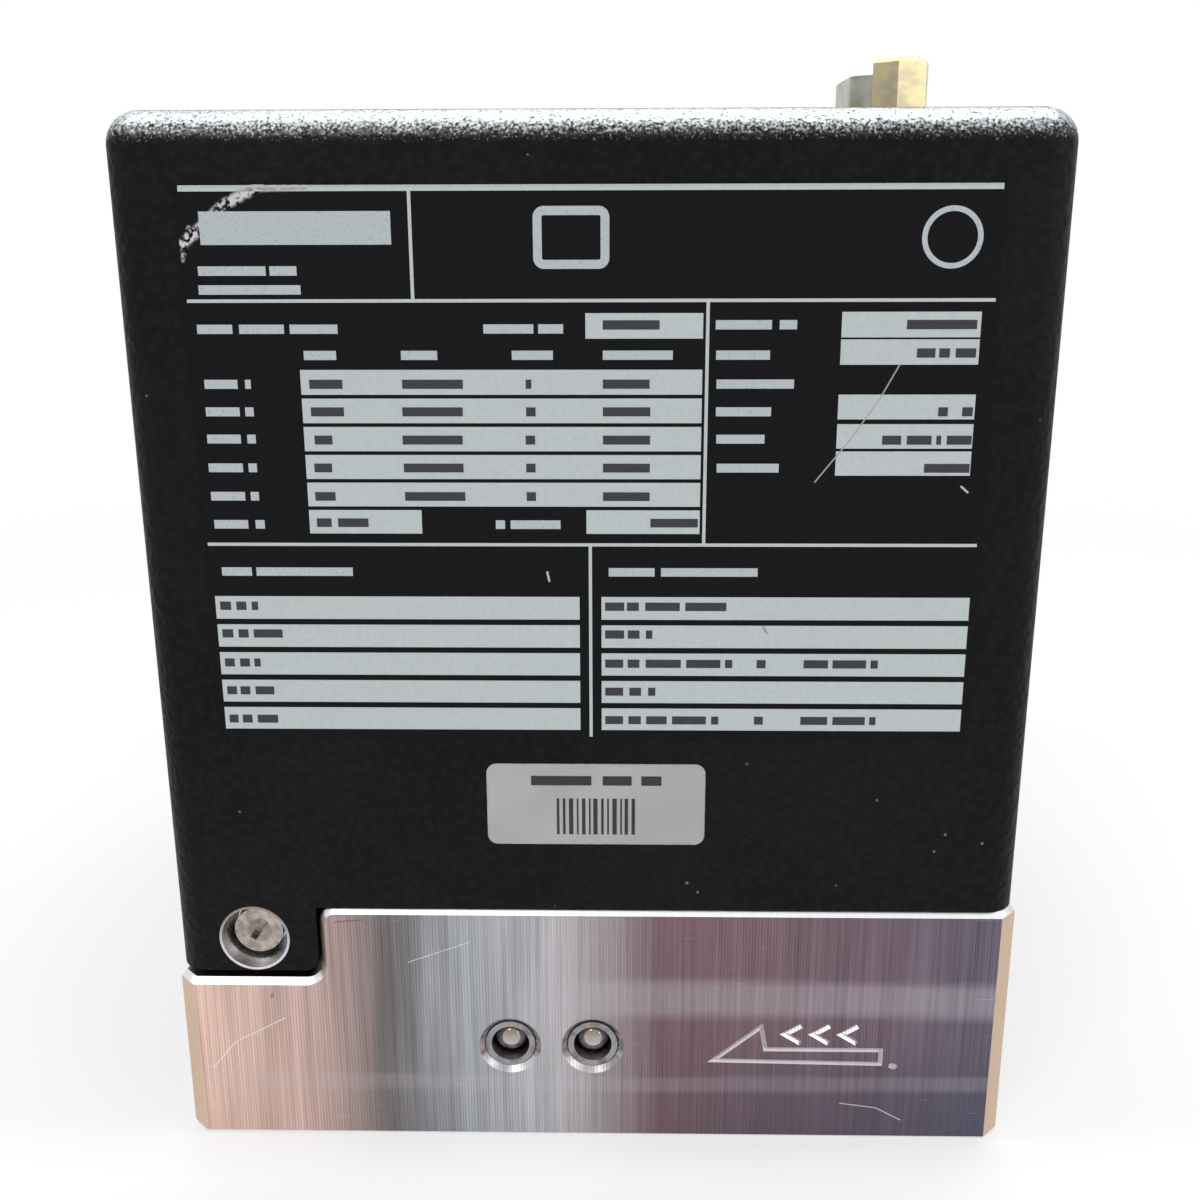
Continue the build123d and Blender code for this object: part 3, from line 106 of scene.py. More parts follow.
DARK_WORDS = (
    (98.6, ((1.4, 5.9), (32.8, 7.2))),
    (95.7, ((34.0, 1.9), (36.3, 1.1), (38.0, 2.1))),
    (92.5, ((-29.5, 3.5), (-19.7, 6.4), (-6.7, 0.6), (1.4, 4.9))),
    (89.6, ((-29.5, 3.5), (-19.8, 6.4), (-6.7, 1.0), (1.4, 5.0), (36.6, 1.0), (39.1, 1.1))),
    (86.6, ((-29.3, 1.9), (-19.9, 6.4), (-6.8, 1.0), (1.4, 5.0))),
    (86.6, ((30.9, 2.0), (33.5, 2.6), (36.6, 0.5), (37.7, 2.6))),
    (83.6, ((-29.5, 1.9), (-19.9, 6.4), (-6.8, 1.0), (1.4, 5.0), (35.5, 4.8))),
    (80.5, ((-29.6, 2.2), (-19.9, 6.5), (-6.8, 1.0), (1.4, 5.0))),
    (77.6, ((-29.6, 1.6), (-27.3, 3.3), (6.5, 5.1))),
    (68.2, ((-40.9, 1.2), (-39.1, 1.1), (-37.4, 0.7))),
    (68.2, ((1.6, 2.1), (4.0, 1.3), (6.0, 3.8), (10.4, 4.5))),
    (65.0, ((-40.9, 1.2), (-39.1, 1.1), (-37.4, 3.2), (1.6, 2.1), (4.1, 1.3), (6.1, 0.7))),
    (61.6, ((-40.9, 1.1), (-39.2, 1.1), (-37.6, 0.7), (1.6, 2.0), (4.1, 1.3), (6.1, 3.9))),
    (61.6, ((10.6, 3.8), (14.9, 0.8), (18.4, 1.0), (23.6, 2.7), (26.8, 3.7), (31.0, 0.8))),
    (58.3, ((-40.9, 1.1), (-39.4, 1.1), (-37.7, 2.1), (1.6, 2.0), (4.3, 1.3), (6.4, 0.8))),
    (54.9, ((-40.9, 1.0), (-39.4, 1.1), (-37.7, 2.3), (1.6, 2.0), (4.2, 1.4), (6.2, 2.3))),
    (54.9, ((9.1, 3.8), (13.5, 0.8), (18.3, 1.0), (23.5, 3.0), (27.1, 3.6), (31.2, 0.7))),
)
# Heavier bars and outlines at the head of the label
HEAD_BAR = (-39.8, -20.2, 106.7, 110.0)
TOP_LINE = (-41.7, 41.7, 112.05, 112.55)
FRAME_MARK = ((-1.8, 107.35), (3.9, 3.1), 1.1, 0.9)
RING_MARK = ((36.9, 107.3), (3.1, 3.1), 3.1, 0.55)
# Sticker: bars of print, then the left edge and width of each upright stripe
STICKER_WORDS = ((47.45, ((-6.9, 6.9), (1.3, 3.3), (5.7, 2.3))),)
STRIPES = (
    (-4.0, 0.3), (-3.3, 0.3), (-2.6, 0.5), (-1.7, 0.2), (-1.1, 0.4), (-0.3, 0.2),
    (0.2, 0.5), (1.1, 0.3), (1.8, 0.2), (2.4, 0.5), (3.3, 0.2), (3.8, 0.4), (4.6, 0.4),
)
STRIPE_MIDDLE = 43.0
STRIPE_HEIGHT = 4.5


# Value maths and node trees


class Value:
    """A number in a node tree. Python's operators on it add Math nodes."""

    def __init__(self, tree, socket):
        self.tree = tree
        self.socket = socket

    def math(self, operation, *others):
        inputs = dict(enumerate((self, *others)))
        node = self.tree.add("ShaderNodeMath", {"operation": operation}, inputs)
        return Value(self.tree, node.outputs[0])

    def __add__(self, other):
        return self.math("ADD", other)

    def __sub__(self, other):
        return self.math("SUBTRACT", other)

    def __rsub__(self, other):
        return self.math("MULTIPLY_ADD", -1.0, other)

    def __mul__(self, other):
        return self.math("MULTIPLY", other)

    def __truediv__(self, other):
        return self.math("DIVIDE", other)

    def __pow__(self, other):
        return self.math("POWER", other)

    def __abs__(self):
        return self.math("ABSOLUTE")

    __radd__ = __add__
    __rmul__ = __mul__

    def rise(self, low, high):
        """Nought below low and one above high, smooth between; low may be above high."""
        node = self.tree.add(
            "ShaderNodeMapRange",
            {"interpolation_type": "SMOOTHSTEP"},
            {0: self, 1: low, 2: high, 3: 0.0, 4: 1.0},
        )
        return Value(self.tree, node.outputs[0])

    def smaller(self, other):
        return self.math("MINIMUM", other)

    def larger(self, other):
        return self.math("MAXIMUM", other)


class Tree:
    """Adds nodes to one node tree."""

    def __init__(self, tree):
        self.tree = tree

    def feed(self, socket, value):
        if isinstance(value, Value):
            value = value.socket
        if isinstance(value, bpy.types.NodeSocket):
            self.tree.links.new(value, socket)
        else:
            socket.default_value = value

    def add(self, kind, settings=(), inputs=()):
        """Adds a node: its type, its settings, then the values or links of its sockets."""
        node = self.tree.nodes.new(kind)
        for key, value in dict(settings).items():
            if key == "stops":
                self.set_stops(node.color_ramp, value)
            else:
                setattr(node, key, value)
        for key, value in dict(inputs).items():
            self.feed(node.inputs[key], value)
        return node

    @staticmethod
    def set_stops(ramp, stops):
        while len(ramp.elements) < len(stops):
            ramp.elements.new(1.0)
        for element, (place, colour) in zip(ramp.elements, stops):
            element.position = place
            element.color = (*colour, 1.0)


class Finish(Tree):
    """A material: x, y and z are its Object coordinates in millimetres."""

    def __init__(self, name, **constants):
        self.material = bpy.data.materials.new(name)
        self.material.use_nodes = True
        super().__init__(self.material.node_tree)
        self.tree.nodes.clear()
        self.shader = self.add("ShaderNodeBsdfPrincipled")
        for socket, value in constants.items():
            self.shader.inputs[socket.replace("_", " ")].default_value = value
        self.add("ShaderNodeOutputMaterial", {}, {"Surface": self.shader.outputs[0]})
        place = self.add("ShaderNodeTexCoord")
        scaled = self.add(
            "ShaderNodeVectorMath",
            {"operation": "SCALE"},
            {0: place.outputs["Object"], "Scale": 1 / MM},
        )
        self.spot = scaled.outputs[0]
        self.x, self.y, self.z = self.split(self.spot)
        self.facing = place.outputs["Normal"]

    def split(self, vector):
        parts = self.add("ShaderNodeSeparateXYZ", {}, {0: vector}).outputs
        return [Value(self, part) for part in parts]

    def join(self, x, y, z):
        return self.add("ShaderNodeCombineXYZ", {}, {0: x, 1: y, 2: z}).outputs[0]

    def noise(self, size, detail=2.0, stretch=(1.0, 1.0, 1.0), spot=None):
        """Noise from 0 to 1 whose lumps are about size across, times stretch each way."""
        scales = [1.0 / (size * way) for way in stretch]
        scaled = self.add(
            "ShaderNodeVectorMath",
            {"operation": "MULTIPLY"},
            {0: spot or self.spot, 1: scales},
        )
        node = self.add(
            "ShaderNodeTexNoise",
            {},
            {"Vector": scaled.outputs[0], "Scale": 1.0, "Detail": detail},
        )
        return Value(self, node.outputs[0])

    def cells(self, size, feature="F1", randomness=1.0):
        """Distance to the nearest of scattered points about size apart."""
        node = self.add(
            "ShaderNodeTexVoronoi",
            {"feature": feature},
            {"Vector": self.spot, "Scale": 1.0 / size, "Randomness": randomness},
        )
        return Value(self, node.outputs["Distance"])

    def mix(self, share, first, second):
        node = self.add("ShaderNodeMix", {"data_type": "RGBA"})
        for key, value in {0: share, 6: first, 7: second}.items():
            self.feed(node.inputs[key], (*value, 1.0) if isinstance(value, tuple) else value)
        return node.outputs[2]

    def tint(self, colour, strength):
        """colour, lighter or darker by the number strength."""
        node = self.add("ShaderNodeVectorMath", {"operation": "SCALE"}, {})
        self.feed(node.inputs[0], colour)
        self.feed(node.inputs["Scale"], strength)
        return node.outputs[0]

    def ramp(self, value, stops):
        return self.add("ShaderNodeValToRGB", {"stops": stops}, {0: value}).outputs[0]

    def stroke(self, points, width, fade=0.5):
        """One along a line through the (x, z) points, falling to nought at its edges."""
        near = None
        for (ax, az), (bx, bz) in zip(points, points[1:]):
            run, rise = bx - ax, bz - az
            across, up = self.x - ax, self.z - az
            along = (across * run + up * rise) / (run * run + rise * rise)
            along = along.larger(0.0).smaller(1.0)
            apart = ((across - along * run) ** 2.0 + (up - along * rise) ** 2.0) ** 0.5
            near = apart if near is None else near.smaller(apart)
        return near.rise(width / 2, width / 2 * (1 - fade))

    def dress(self, colour=None, roughness=None, height=None, strength=1.0):
        """Feeds the shader; height is in millimetres."""
        if colour is not None:
            if isinstance(colour, tuple):
                colour = (*colour, 1.0)
            self.feed(self.shader.inputs["Base Color"], colour)
        if roughness is not None:
            self.feed(self.shader.inputs["Roughness"], roughness)
        if height is not None:
            bump = self.add(
                "ShaderNodeBump", {}, {"Height": height, "Distance": MM, "Strength": strength}
            )
            self.feed(self.shader.inputs["Normal"], bump.outputs[0])
        return self.material


# Finishes


def powder_coat():
    """Black powder coat with a fine leathery grain."""
    coat = Finish("powder_coat", Specular_IOR_Level=0.08, Coat_Roughness=0.24)
    grain = coat.noise(GRAIN, 1.0)
    lumps = coat.cells(0.9, "SMOOTH_F1")
    patches = coat.noise(24.0, 3.0)
    fine = coat.noise(0.16, 2.0)
    height = lumps * 0.16 + grain * 0.1 + fine * 0.01
    colour = coat.mix(patches.rise(0.3, 0.7), (0.0052, 0.0046, 0.0049), (0.0078, 0.0068, 0.0072))
    # Lighter crowns of the grain: painted highlights on the bumps
    crown = lumps.rise(0.55, 0.2)
    colour = coat.mix(crown * 0.3, colour, (0.016, 0.0145, 0.0155))
    # Sparse pale specks: painted glints on the grain
    painted_glints = coat.cells(3.1).rise(0.075, 0.04) * coat.noise(9.0, 2.0).rise(0.52, 0.6)
    colour = coat.mix(painted_glints * 0.55, colour, (0.3, 0.29, 0.28))
    # The rounded upper edges get a glossier coat on the crowns of the grain only, and pale
    # metallic flecks there that are a painted highlight
    tilt = coat.split(coat.facing)[2]
    upward = tilt.rise(0.08, 0.35) * tilt.rise(0.995, 0.95)
    shine = upward * (coat.noise(0.5, 2.0).rise(0.4, 0.58) * 0.9 + 0.1)
    coat.feed(coat.shader.inputs["Coat Weight"], shine)
    reach = tilt.rise(0.05, 0.8)
    painted_edge_highlight = (coat.noise(0.3, 1.0) + reach * 0.42).rise(0.58, 0.95)
    painted_edge_highlight = painted_edge_highlight * tilt.rise(0.02, 0.15) * tilt.rise(0.995, 0.95)
    coat.feed(coat.shader.inputs["Metallic"], painted_edge_highlight * 0.8)
    colour = coat.mix(painted_edge_highlight, colour, (0.4, 0.435, 0.445))
    return coat.dress(colour, 0.36 + grain * 0.2 + painted_glints * 0.2, height)


def milled_aluminium():
    """Bright milled aluminium: upright tool lines, soft bands of colour that are painted
    reflections, painted shade and highlights, and fine scratches.
    """
    metal = Finish("milled_aluminium", Metallic=1.0)
    nx, ny, nz = metal.split(metal.facing)
    on_side = abs(nx).rise(0.6, 0.8)
    level = abs(nz).rise(0.75, 0.9)
    across = metal.x * (1.0 - on_side) + metal.y * on_side
    along = metal.z * (1.0 - level) + metal.y * level
    way = metal.join(across, along, 0.0)

    waver = metal.noise(9.0, 2.0, (1.0, 4.0, 1.0), way)
    tool_line = (across * (2 * math.pi / MILLING_PITCH) + waver * 3.0).math("SINE")
    strips = metal.noise(0.55, 3.0, (1.0, 60.0, 1.0), way)
    bands = metal.noise(3.2, 2.0, (1.0, 12.0, 1.0), way)
    strength = metal.noise(14.0, 3.0, (1.0, 0.6, 1.0), way).rise(0.35, 0.68)

    # Painted reflections: bright and dull stretches from left to right, as wide as the reflections
    # on a milled face
    drift = (across + 50.0) / 100.0 + (bands - 0.5) * 0.05
    colour = metal.ramp(
        drift,
        (
            (0.0, (0.62, 0.43, 0.36)),
            (0.15, (0.53, 0.38, 0.34)),
            (0.255, (0.155, 0.14, 0.145)),
            (0.35, (0.33, 0.34, 0.37)),
            (0.46, (0.42, 0.4, 0.42)),
            (0.58, (0.18, 0.115, 0.128)),
            (0.82, (0.165, 0.115, 0.14)),
            (1.0, (0.12, 0.108, 0.15)),
        ),
    )
    # The other faces are plainer silver than the front
    on_front = ny.rise(-0.6, -0.8)
    colour = metal.mix((1.0 - on_front) * 0.7, colour, (0.4, 0.395, 0.41))
    colour = metal.tint(colour, 1.08 + (strips - 0.5) * 1.0 + (bands - 0.5) * 0.7)
    # Painted shade: the lower right of each face is cooler and darker
    low_right = across.rise(-2.0, 30.0) * metal.z.rise(16.0, 4.0) * (1.0 - level)
    colour = metal.mix(low_right * 0.6, colour, metal.tint(colour, 0.6))
    colour = metal.mix(low_right * 0.25, colour, (0.1, 0.12, 0.18))
    colour = metal.tint(colour, 1.0 + tool_line * (0.05 + strength * 0.1))

    # Painted reflections: lighter bands that run along the face
    band_waver = metal.noise(5.0, 3.0, (9.0, 1.0, 1.0), way)
    height_on_face = metal.z + (band_waver - 0.5) * 2.4
    band = height_on_face.rise(16.0, 18.0) * height_on_face.rise(22.5, 20.5)
    band = band * metal.x.rise(-12.0, 4.0) * (1.0 - level)
    low_band = height_on_face.rise(6.0, 7.0) * height_on_face.rise(9.0, 8.0) * 0.5
    painted_reflection_bands = band.larger(low_band * (1.0 - level)) * (0.35 + strips * 0.9)
    colour = metal.mix(painted_reflection_bands * 0.38, colour, (0.55, 0.52, 0.56))

    # Chamfers catch the light, and warm light on the corners
    corner = abs(nx).rise(0.4, 0.55) * abs(ny).rise(0.4, 0.55) * abs(metal.x).rise(47.0, 47.8)
    colour = metal.mix(corner * 0.8, colour, (0.62, 0.44, 0.28))
    edge = abs(nz).rise(0.35, 0.5) * abs(nz).rise(0.93, 0.85)
    edge = edge * metal.z.rise(17.0, 20.0).larger(metal.z.rise(1.5, 1.0))
    colour = metal.mix(edge * 0.85, colour, (0.86, 0.87, 0.9))

    # Scratches, a dent with a painted highlight on its lip, and small dark marks
    scratch = metal.stroke(((-46.5, 9.2), (-43.5, 12.9), (-37.2, 16.3)), 0.2)
    scratch = scratch.larger(metal.stroke(((30.2, 5.0), (34.6, 4.4), (37.7, 2.7)), 0.16))
    scratch = scratch.larger(metal.stroke(((-22.0, 24.0), (-14.5, 26.8)), 0.12))
    hair_way = metal.noise(1.2, 2.0, (6.0, 0.25, 1.0), way).rise(0.7, 0.74) * 0.35
    scratch = (scratch * on_front).larger(hair_way * strength)
    colour = metal.mix(scratch * 0.6, colour, (0.85, 0.84, 0.85))
    dent_and_highlight = metal.stroke(((36.2, 10.4), (36.5, 10.3)), 1.0) * on_front
    colour = metal.mix(dent_and_highlight * 0.5, colour, (0.75, 0.72, 0.7))
    marks = metal.stroke(((-30.4, 29.3), (-27.2, 29.6)), 0.3)
    marks = marks.larger(metal.stroke(((-38.6, 19.2), (-38.5, 19.5)), 0.5)) * on_front
    colour = metal.mix(marks * 0.55, colour, (0.12, 0.1, 0.1))

    # The engraved mark's walls are a lighter metal colour
    in_mark = metal.x.rise(13.0, 13.5) * metal.x.rise(37.0, 36.5)
    in_mark = in_mark * metal.z.rise(17.5, 17.0) * metal.z.rise(9.0, 9.5)
    cut = in_mark * ny.rise(-0.97, -0.85) * metal.y.rise(-54.0, -54.3)
    colour = metal.mix(cut * 0.6, colour, (0.74, 0.72, 0.74))

    # Painted shade: dark brown on the pocket's floor, under the cover's tab
    low_place = metal.z.rise(24.0, 22.5) * metal.z.rise(20.0, 21.0)
    pocket = level * metal.x.rise(-31.5, -33.5) * low_place
    colour = metal.mix(pocket * 0.85, colour, (0.1, 0.055, 0.035))

    height = tool_line * (0.002 + strength * 0.003) + strips * 0.012 - scratch * 0.02
    height = height - dent_and_highlight * 0.12
    roughness = 0.3 + strips * 0.12 + painted_reflection_bands * 0.12 - strength * 0.04
    return metal.dress(colour, roughness, height)


def worn_film(name, dark, light, roughness, scuff_colour, **constants):
    """Printed film: fine mottle, the long scuff at the upper left and the crack at the right."""
    film = Finish(name, **constants)
    mottle = film.noise(0.5, 3.0)
    patches = film.noise(15.0, 2.0)
    colour = film.mix(mottle.rise(0.35, 0.65) * 0.6 + patches * 0.4, dark, light)
    ragged = film.noise(0.55, 3.0)
    scuff = film.stroke(((-41.8, 106.6), (-37.2, 110.6), (-33.4, 112.5)), 1.5, 0.7)
    nicks = film.stroke(((-33.4, 112.2), (-28.6, 112.35)), 0.9, 0.8)
    nicks = nicks.larger(film.stroke(((-41.8, 105.2), (-40.9, 108.4)), 0.7, 0.8))
    scuff = (scuff + nicks * 0.8) * ragged.rise(0.4, 0.56)
    ticks = film.stroke(((-4.7, 72.1), (-4.5, 71.1)), 0.3)
    ticks = ticks.larger(film.stroke(((19.0, 65.9), (19.4, 65.2)), 0.35))
    ticks = ticks.larger(film.stroke(((39.6, 81.6), (40.3, 81.0)), 0.3))
    crack = film.stroke(((32.3, 94.5), (30.4, 90.9), (27.5, 86.6), (24.0, 82.1)), 0.2)
    wear = scuff.larger(ticks * 0.8).larger(crack * 0.55)
    colour = film.mix(wear.smaller(1.0), colour, scuff_colour)
    height = mottle * 0.006 - wear * 0.02
    return film.dress(colour, roughness + mottle * 0.1 + wear * 0.2, height)


def label_paper():
    """The sticker's slightly grey paper, a little darker at its edges."""
    paper = Finish("sticker_paper", Specular_IOR_Level=0.35)
    fibre = paper.noise(0.7, 3.0)
    haze = paper.noise(8.0, 2.0)
    colour = paper.mix(haze.rise(0.35, 0.65), (0.38, 0.378, 0.37), (0.42, 0.417, 0.41))
    (middle_x, middle_z), (half_x, half_z) = STICKER_MIDDLE, STICKER_HALF
    edge_x = abs(paper.x - middle_x).rise(half_x - 0.4, half_x)
    edge_z = abs(paper.z - middle_z).rise(half_z - 0.4, half_z)
    darker_edge = edge_x.larger(edge_z) * fibre.rise(0.45, 0.6)
    colour = paper.mix(darker_edge * 0.5, colour, (0.25, 0.25, 0.25))
    return paper.dress(colour, 0.42 + fibre * 0.12, fibre * 0.01)


def plain_ink(name, colour):
    """Ink with a slightly uneven, broken surface."""
    ink = Finish(name, Specular_IOR_Level=0.3)
    speckle = ink.noise(0.22, 2.0)
    thin = tuple(channel * 0.6 + 0.03 for channel in colour)
    return ink.dress(ink.mix(speckle.rise(0.58, 0.75), colour, thin), 0.45 + speckle * 0.15)


def turned_metal(name, colour, stain, roughness, lump=3.0, ring=0.0, **constants):
    """Metal with a fine cloudy stain and, where ring is set, faint tool rings."""
    metal = Finish(name, Metallic=1.0, **constants)
    cloud = metal.noise(lump, 3.0)
    fine = metal.noise(lump / 12, 2.0)
    mixed = metal.mix(cloud.rise(0.4, 0.72) * 0.7, colour, stain)
    height = fine * 0.006
    if ring:
        rings = (metal.z * (2 * math.pi / ring)).math("SINE")
        height = height + rings * 0.004
        mixed = metal.tint(mixed, 1.0 + rings * 0.05)
    return metal.dress(mixed, roughness + cloud * 0.14, height)


def cup_metal():
    """Pressed bright washer with a painted reflection: warm and dark towards its top, bluish and
    bright at the bottom.
    """
    metal = Finish("cup_metal", Metallic=1.0)
    face = abs(metal.y).rise(50.5, 54.0)
    up = metal.z.rise(23.6, 30.4)
    brushed = metal.noise(0.9, 3.0, (1.0, 1.0, 1.0))
    # Painted reflection: warm and dark towards the top of the front, bluish and bright below
    colour = metal.mix(up * face, (0.66, 0.68, 0.72), (0.3, 0.24, 0.2))
    colour = metal.tint(colour, 0.85 + brushed * 0.35)
    return metal.dress(colour, 0.2 + brushed * 0.16, brushed * 0.012)


def screw_metal():
    """Machined screw head with rings, scuffs and dark brown painted shade at its middle, round the
    slot.
    """
    metal = Finish("cover_screw_metal", Metallic=1.0)
    out = (abs(metal.x) - SCREW_OFF_MIDDLE) ** 2.0 + (metal.z - SCREW_HEIGHT) ** 2.0
    out = out ** 0.5
    rings = (out * (2 * math.pi / 0.4)).math("SINE")
    scuffs = metal.noise(1.1, 4.0)
    # Painted shade: the middle of the head, round the slot, darker brown
    inner = out.rise(1.7, 1.2)
    colour = metal.mix(scuffs.rise(0.35, 0.7), (0.5, 0.45, 0.41), (0.3, 0.25, 0.22))
    colour = metal.mix(inner * 0.5, colour, (0.16, 0.12, 0.1))
    colour = metal.tint(colour, 1.0 + rings * 0.06)
    return metal.dress(colour, 0.26 + scuffs * 0.2, rings * 0.006 + scuffs * 0.05)


def ball_metal():
    """Polished ball with a painted reflection of the room over a bench: dark above, bright below.
    """
    metal = Finish("ball_metal", Metallic=1.0)
    up = (metal.z - FLOW_HEIGHT).rise(-1.6, 2.2)
    smear = metal.noise(1.0, 2.0)
    # Painted reflection: dark brown above, bright below
    colour = metal.mix(up, (0.62, 0.6, 0.6), (0.2, 0.14, 0.09))
    return metal.dress(colour, 0.07 + smear * 0.1)


def solder_lacquer():
    """Green board lacquer with copper lines under it."""
    board = Finish("board_lacquer", Coat_Weight=0.3, Coat_Roughness=0.15)
    weave_y = (board.y * (2 * math.pi / 1.27)).math("SINE").rise(0.55, 0.75)
    weave_z = (board.z * (2 * math.pi / 1.27)).math("SINE").rise(0.55, 0.75)
    where = board.noise(11.0, 1.0)
    lines = weave_y * where.rise(0.5, 0.54) + weave_z * where.rise(0.46, 0.42)
    cloud = board.noise(6.0, 2.0)
    colour = board.mix(cloud, (0.012, 0.075, 0.03), (0.018, 0.1, 0.04))
    colour = board.mix(lines.smaller(1.0) * 0.6, colour, (0.035, 0.19, 0.075))
    return board.dress(colour, 0.34 + cloud * 0.1, lines * 0.03)


def moulded(name, colour, light, roughness=0.45, grain=0.35):
    """Moulded plastic or rubber with a fine grain and slow unevenness."""
    plastic = Finish(name, Specular_IOR_Level=0.4)
    slow = plastic.noise(7.0, 2.0)
    fine = plastic.noise(grain, 2.0)
    mixed = plastic.mix(slow.rise(0.35, 0.65) * 0.7 + fine * 0.3, colour, light)
    return plastic.dress(mixed, roughness + fine * 0.14, fine * 0.015)


def seen_rays(tree):
    """One where the camera, a reflection or a transparent piece looks, nought for other light."""
    rays = tree.add("ShaderNodeLightPath").outputs
    seen = Value(tree, rays["Is Camera Ray"]) + Value(tree, rays["Is Glossy Ray"])
    return (seen + Value(tree, rays["Is Transmission Ray"])).smaller(1.0)


def floor_paint():
    """Pale floor that fades to plain white away from the object, and keeps the shadow."""
    paint = Finish("studio_floor", Specular_IOR_Level=0.1)
    tone = paint.noise(300.0, 2.0)
    paint.dress(paint.mix(tone, (0.84, 0.84, 0.845), (0.87, 0.87, 0.87)), 0.75)
    out = ((paint.x * paint.x) + (paint.y * paint.y)) ** 0.5
    glow = paint.add("ShaderNodeEmission", {}, {"Color": (1.0, 1.0, 1.0, 1.0), "Strength": 1.0})
    share = seen_rays(paint) * (0.45 + out.rise(90.0, 420.0) * 0.55)
    both = paint.add(
        "ShaderNodeMixShader", {}, {0: share, 1: paint.shader.outputs[0], 2: glow.outputs[0]}
    )
    output = next(n for n in paint.tree.nodes if n.type == "OUTPUT_MATERIAL")
    paint.feed(output.inputs["Surface"], both.outputs[0])
    return paint.material


aluminium = milled_aluminium()
coat = powder_coat()
label_film = worn_film(
    "label_film", (0.0055, 0.0055, 0.0065), (0.008, 0.008, 0.0095), 0.4,
    (0.6, 0.6, 0.6), Specular_IOR_Level=0.07,
)
field_film = worn_film(
    "field_film", (0.46, 0.5, 0.5), (0.51, 0.55, 0.545), 0.42,
    (0.25, 0.25, 0.26), Specular_IOR_Level=0.3,
)
sticker = label_paper()
white_ink = plain_ink("white_ink", (0.45, 0.49, 0.5))
dark_ink = plain_ink("dark_ink", (0.035, 0.035, 0.045))
sticker_ink = plain_ink("sticker_ink", (0.03, 0.03, 0.032))
cup = cup_metal()
cover_screw = screw_metal()
ball = ball_metal()
sleeve = turned_metal("sleeve_metal", (0.34, 0.33, 0.34), (0.12, 0.1, 0.09), 0.22, 1.2)
shell_metal = turned_metal("shell_metal", (0.36, 0.36, 0.31), (0.24, 0.23, 0.17), 0.22, 2.5)
jack_metal = turned_metal("jack_metal", (0.46, 0.39, 0.23), (0.29, 0.28, 0.22), 0.16, 2.0)
zinc = turned_metal("zinc_plate", (0.52, 0.52, 0.5), (0.36, 0.36, 0.33), 0.26, 2.4, 0.5)
brass = turned_metal("brass", (0.6, 0.42, 0.16), (0.42, 0.27, 0.09), 0.22, 2.0, 0.5)
stainless = turned_metal("stainless", (0.5, 0.49, 0.47), (0.38, 0.36, 0.34), 0.24, 2.5, 0.4)
lacquer = solder_lacquer()
black_plastic = moulded("black_plastic", (0.013, 0.013, 0.015), (0.022, 0.022, 0.025))
grey_plastic = moulded("grey_plastic", (0.07, 0.075, 0.085), (0.1, 0.105, 0.115))
coil_moulding = moulded("coil_moulding", (0.02, 0.017, 0.016), (0.032, 0.028, 0.026), 0.4, 0.6)
rubber = moulded("seal_rubber", (0.008, 0.008, 0.008), (0.014, 0.014, 0.014), 0.55, 0.25)

finish_of_slot = {
    "aluminium": aluminium, "black_coat": coat, "plated_steel": zinc,
    "polished_steel": ball, "tinned_steel": shell_metal, "brass": brass,
    "black_plastic": black_plastic, "grey_plastic": grey_plastic,
    "label_film": label_film, "label_print": field_film, "sticker_film": sticker,
    "board": lacquer, "stainless": stainless, "coil": coil_moulding, "seal": rubber,
}
finish_of_node = {
    "cup_washers": cup, "cover_screws": cover_screw, "plug_sleeves": sleeve,
    "plug_balls": ball, "jackscrews": jack_metal, "dsub_front_shell": shell_metal,
}
for node, piece in nodes.items():
    piece.data.materials.clear()
    piece.data.materials.append(finish_of_node.get(node) or finish_of_slot[slot_of_node[node]])


# Pieces


def new_piece(name, mesh, finish, body="housing"):
    """Puts a finished mesh in the scene, on its body."""
    piece = bpy.data.objects.new(name, mesh)
    scene.collection.objects.link(piece)
    if finish is not None:
        mesh.materials.clear()
        mesh.materials.append(finish)
    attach(piece, body)
    return piece


def evaluated_mesh(piece, name):
    """The mesh that a piece's modifiers make, as a plain mesh of its own."""
    bpy.context.view_layer.update()
    graph = bpy.context.evaluated_depsgraph_get()
    mesh = bpy.data.meshes.new_from_object(piece.evaluated_get(graph))
    mesh.name = name
    return mesh


def welded_copy(node):
    """A CAD node's mesh with its loose triangles joined."""
    work = bmesh.new()
    work.from_mesh(nodes[node].data)
    bmesh.ops.remove_doubles(work, verts=work.verts, dist=WELD * MM)
    mesh = bpy.data.meshes.new(node + "_smooth")
    work.to_mesh(mesh)
    work.free()
    return mesh


def smoothed(mesh, crease=32.0):
    """Rounds a mesh's shading, and keeps the edges sharper than crease degrees crisp."""
    work = bmesh.new()
    work.from_mesh(mesh)
    for face in work.faces:
        face.smooth = True
    for edge in work.edges:
        if len(edge.link_faces) == 2:
            edge.smooth = edge.calc_face_angle() < math.radians(crease)
    work.to_mesh(mesh)
    work.free()
    helper = bpy.data.objects.new("shading_helper", mesh)
    scene.collection.objects.link(helper)
    level = helper.modifiers.new("flat_faces_stay_flat", "WEIGHTED_NORMAL")
    level.keep_sharp = True
    level.weight = 100
    result = evaluated_mesh(helper, mesh.name)
    bpy.data.objects.remove(helper)
    return result


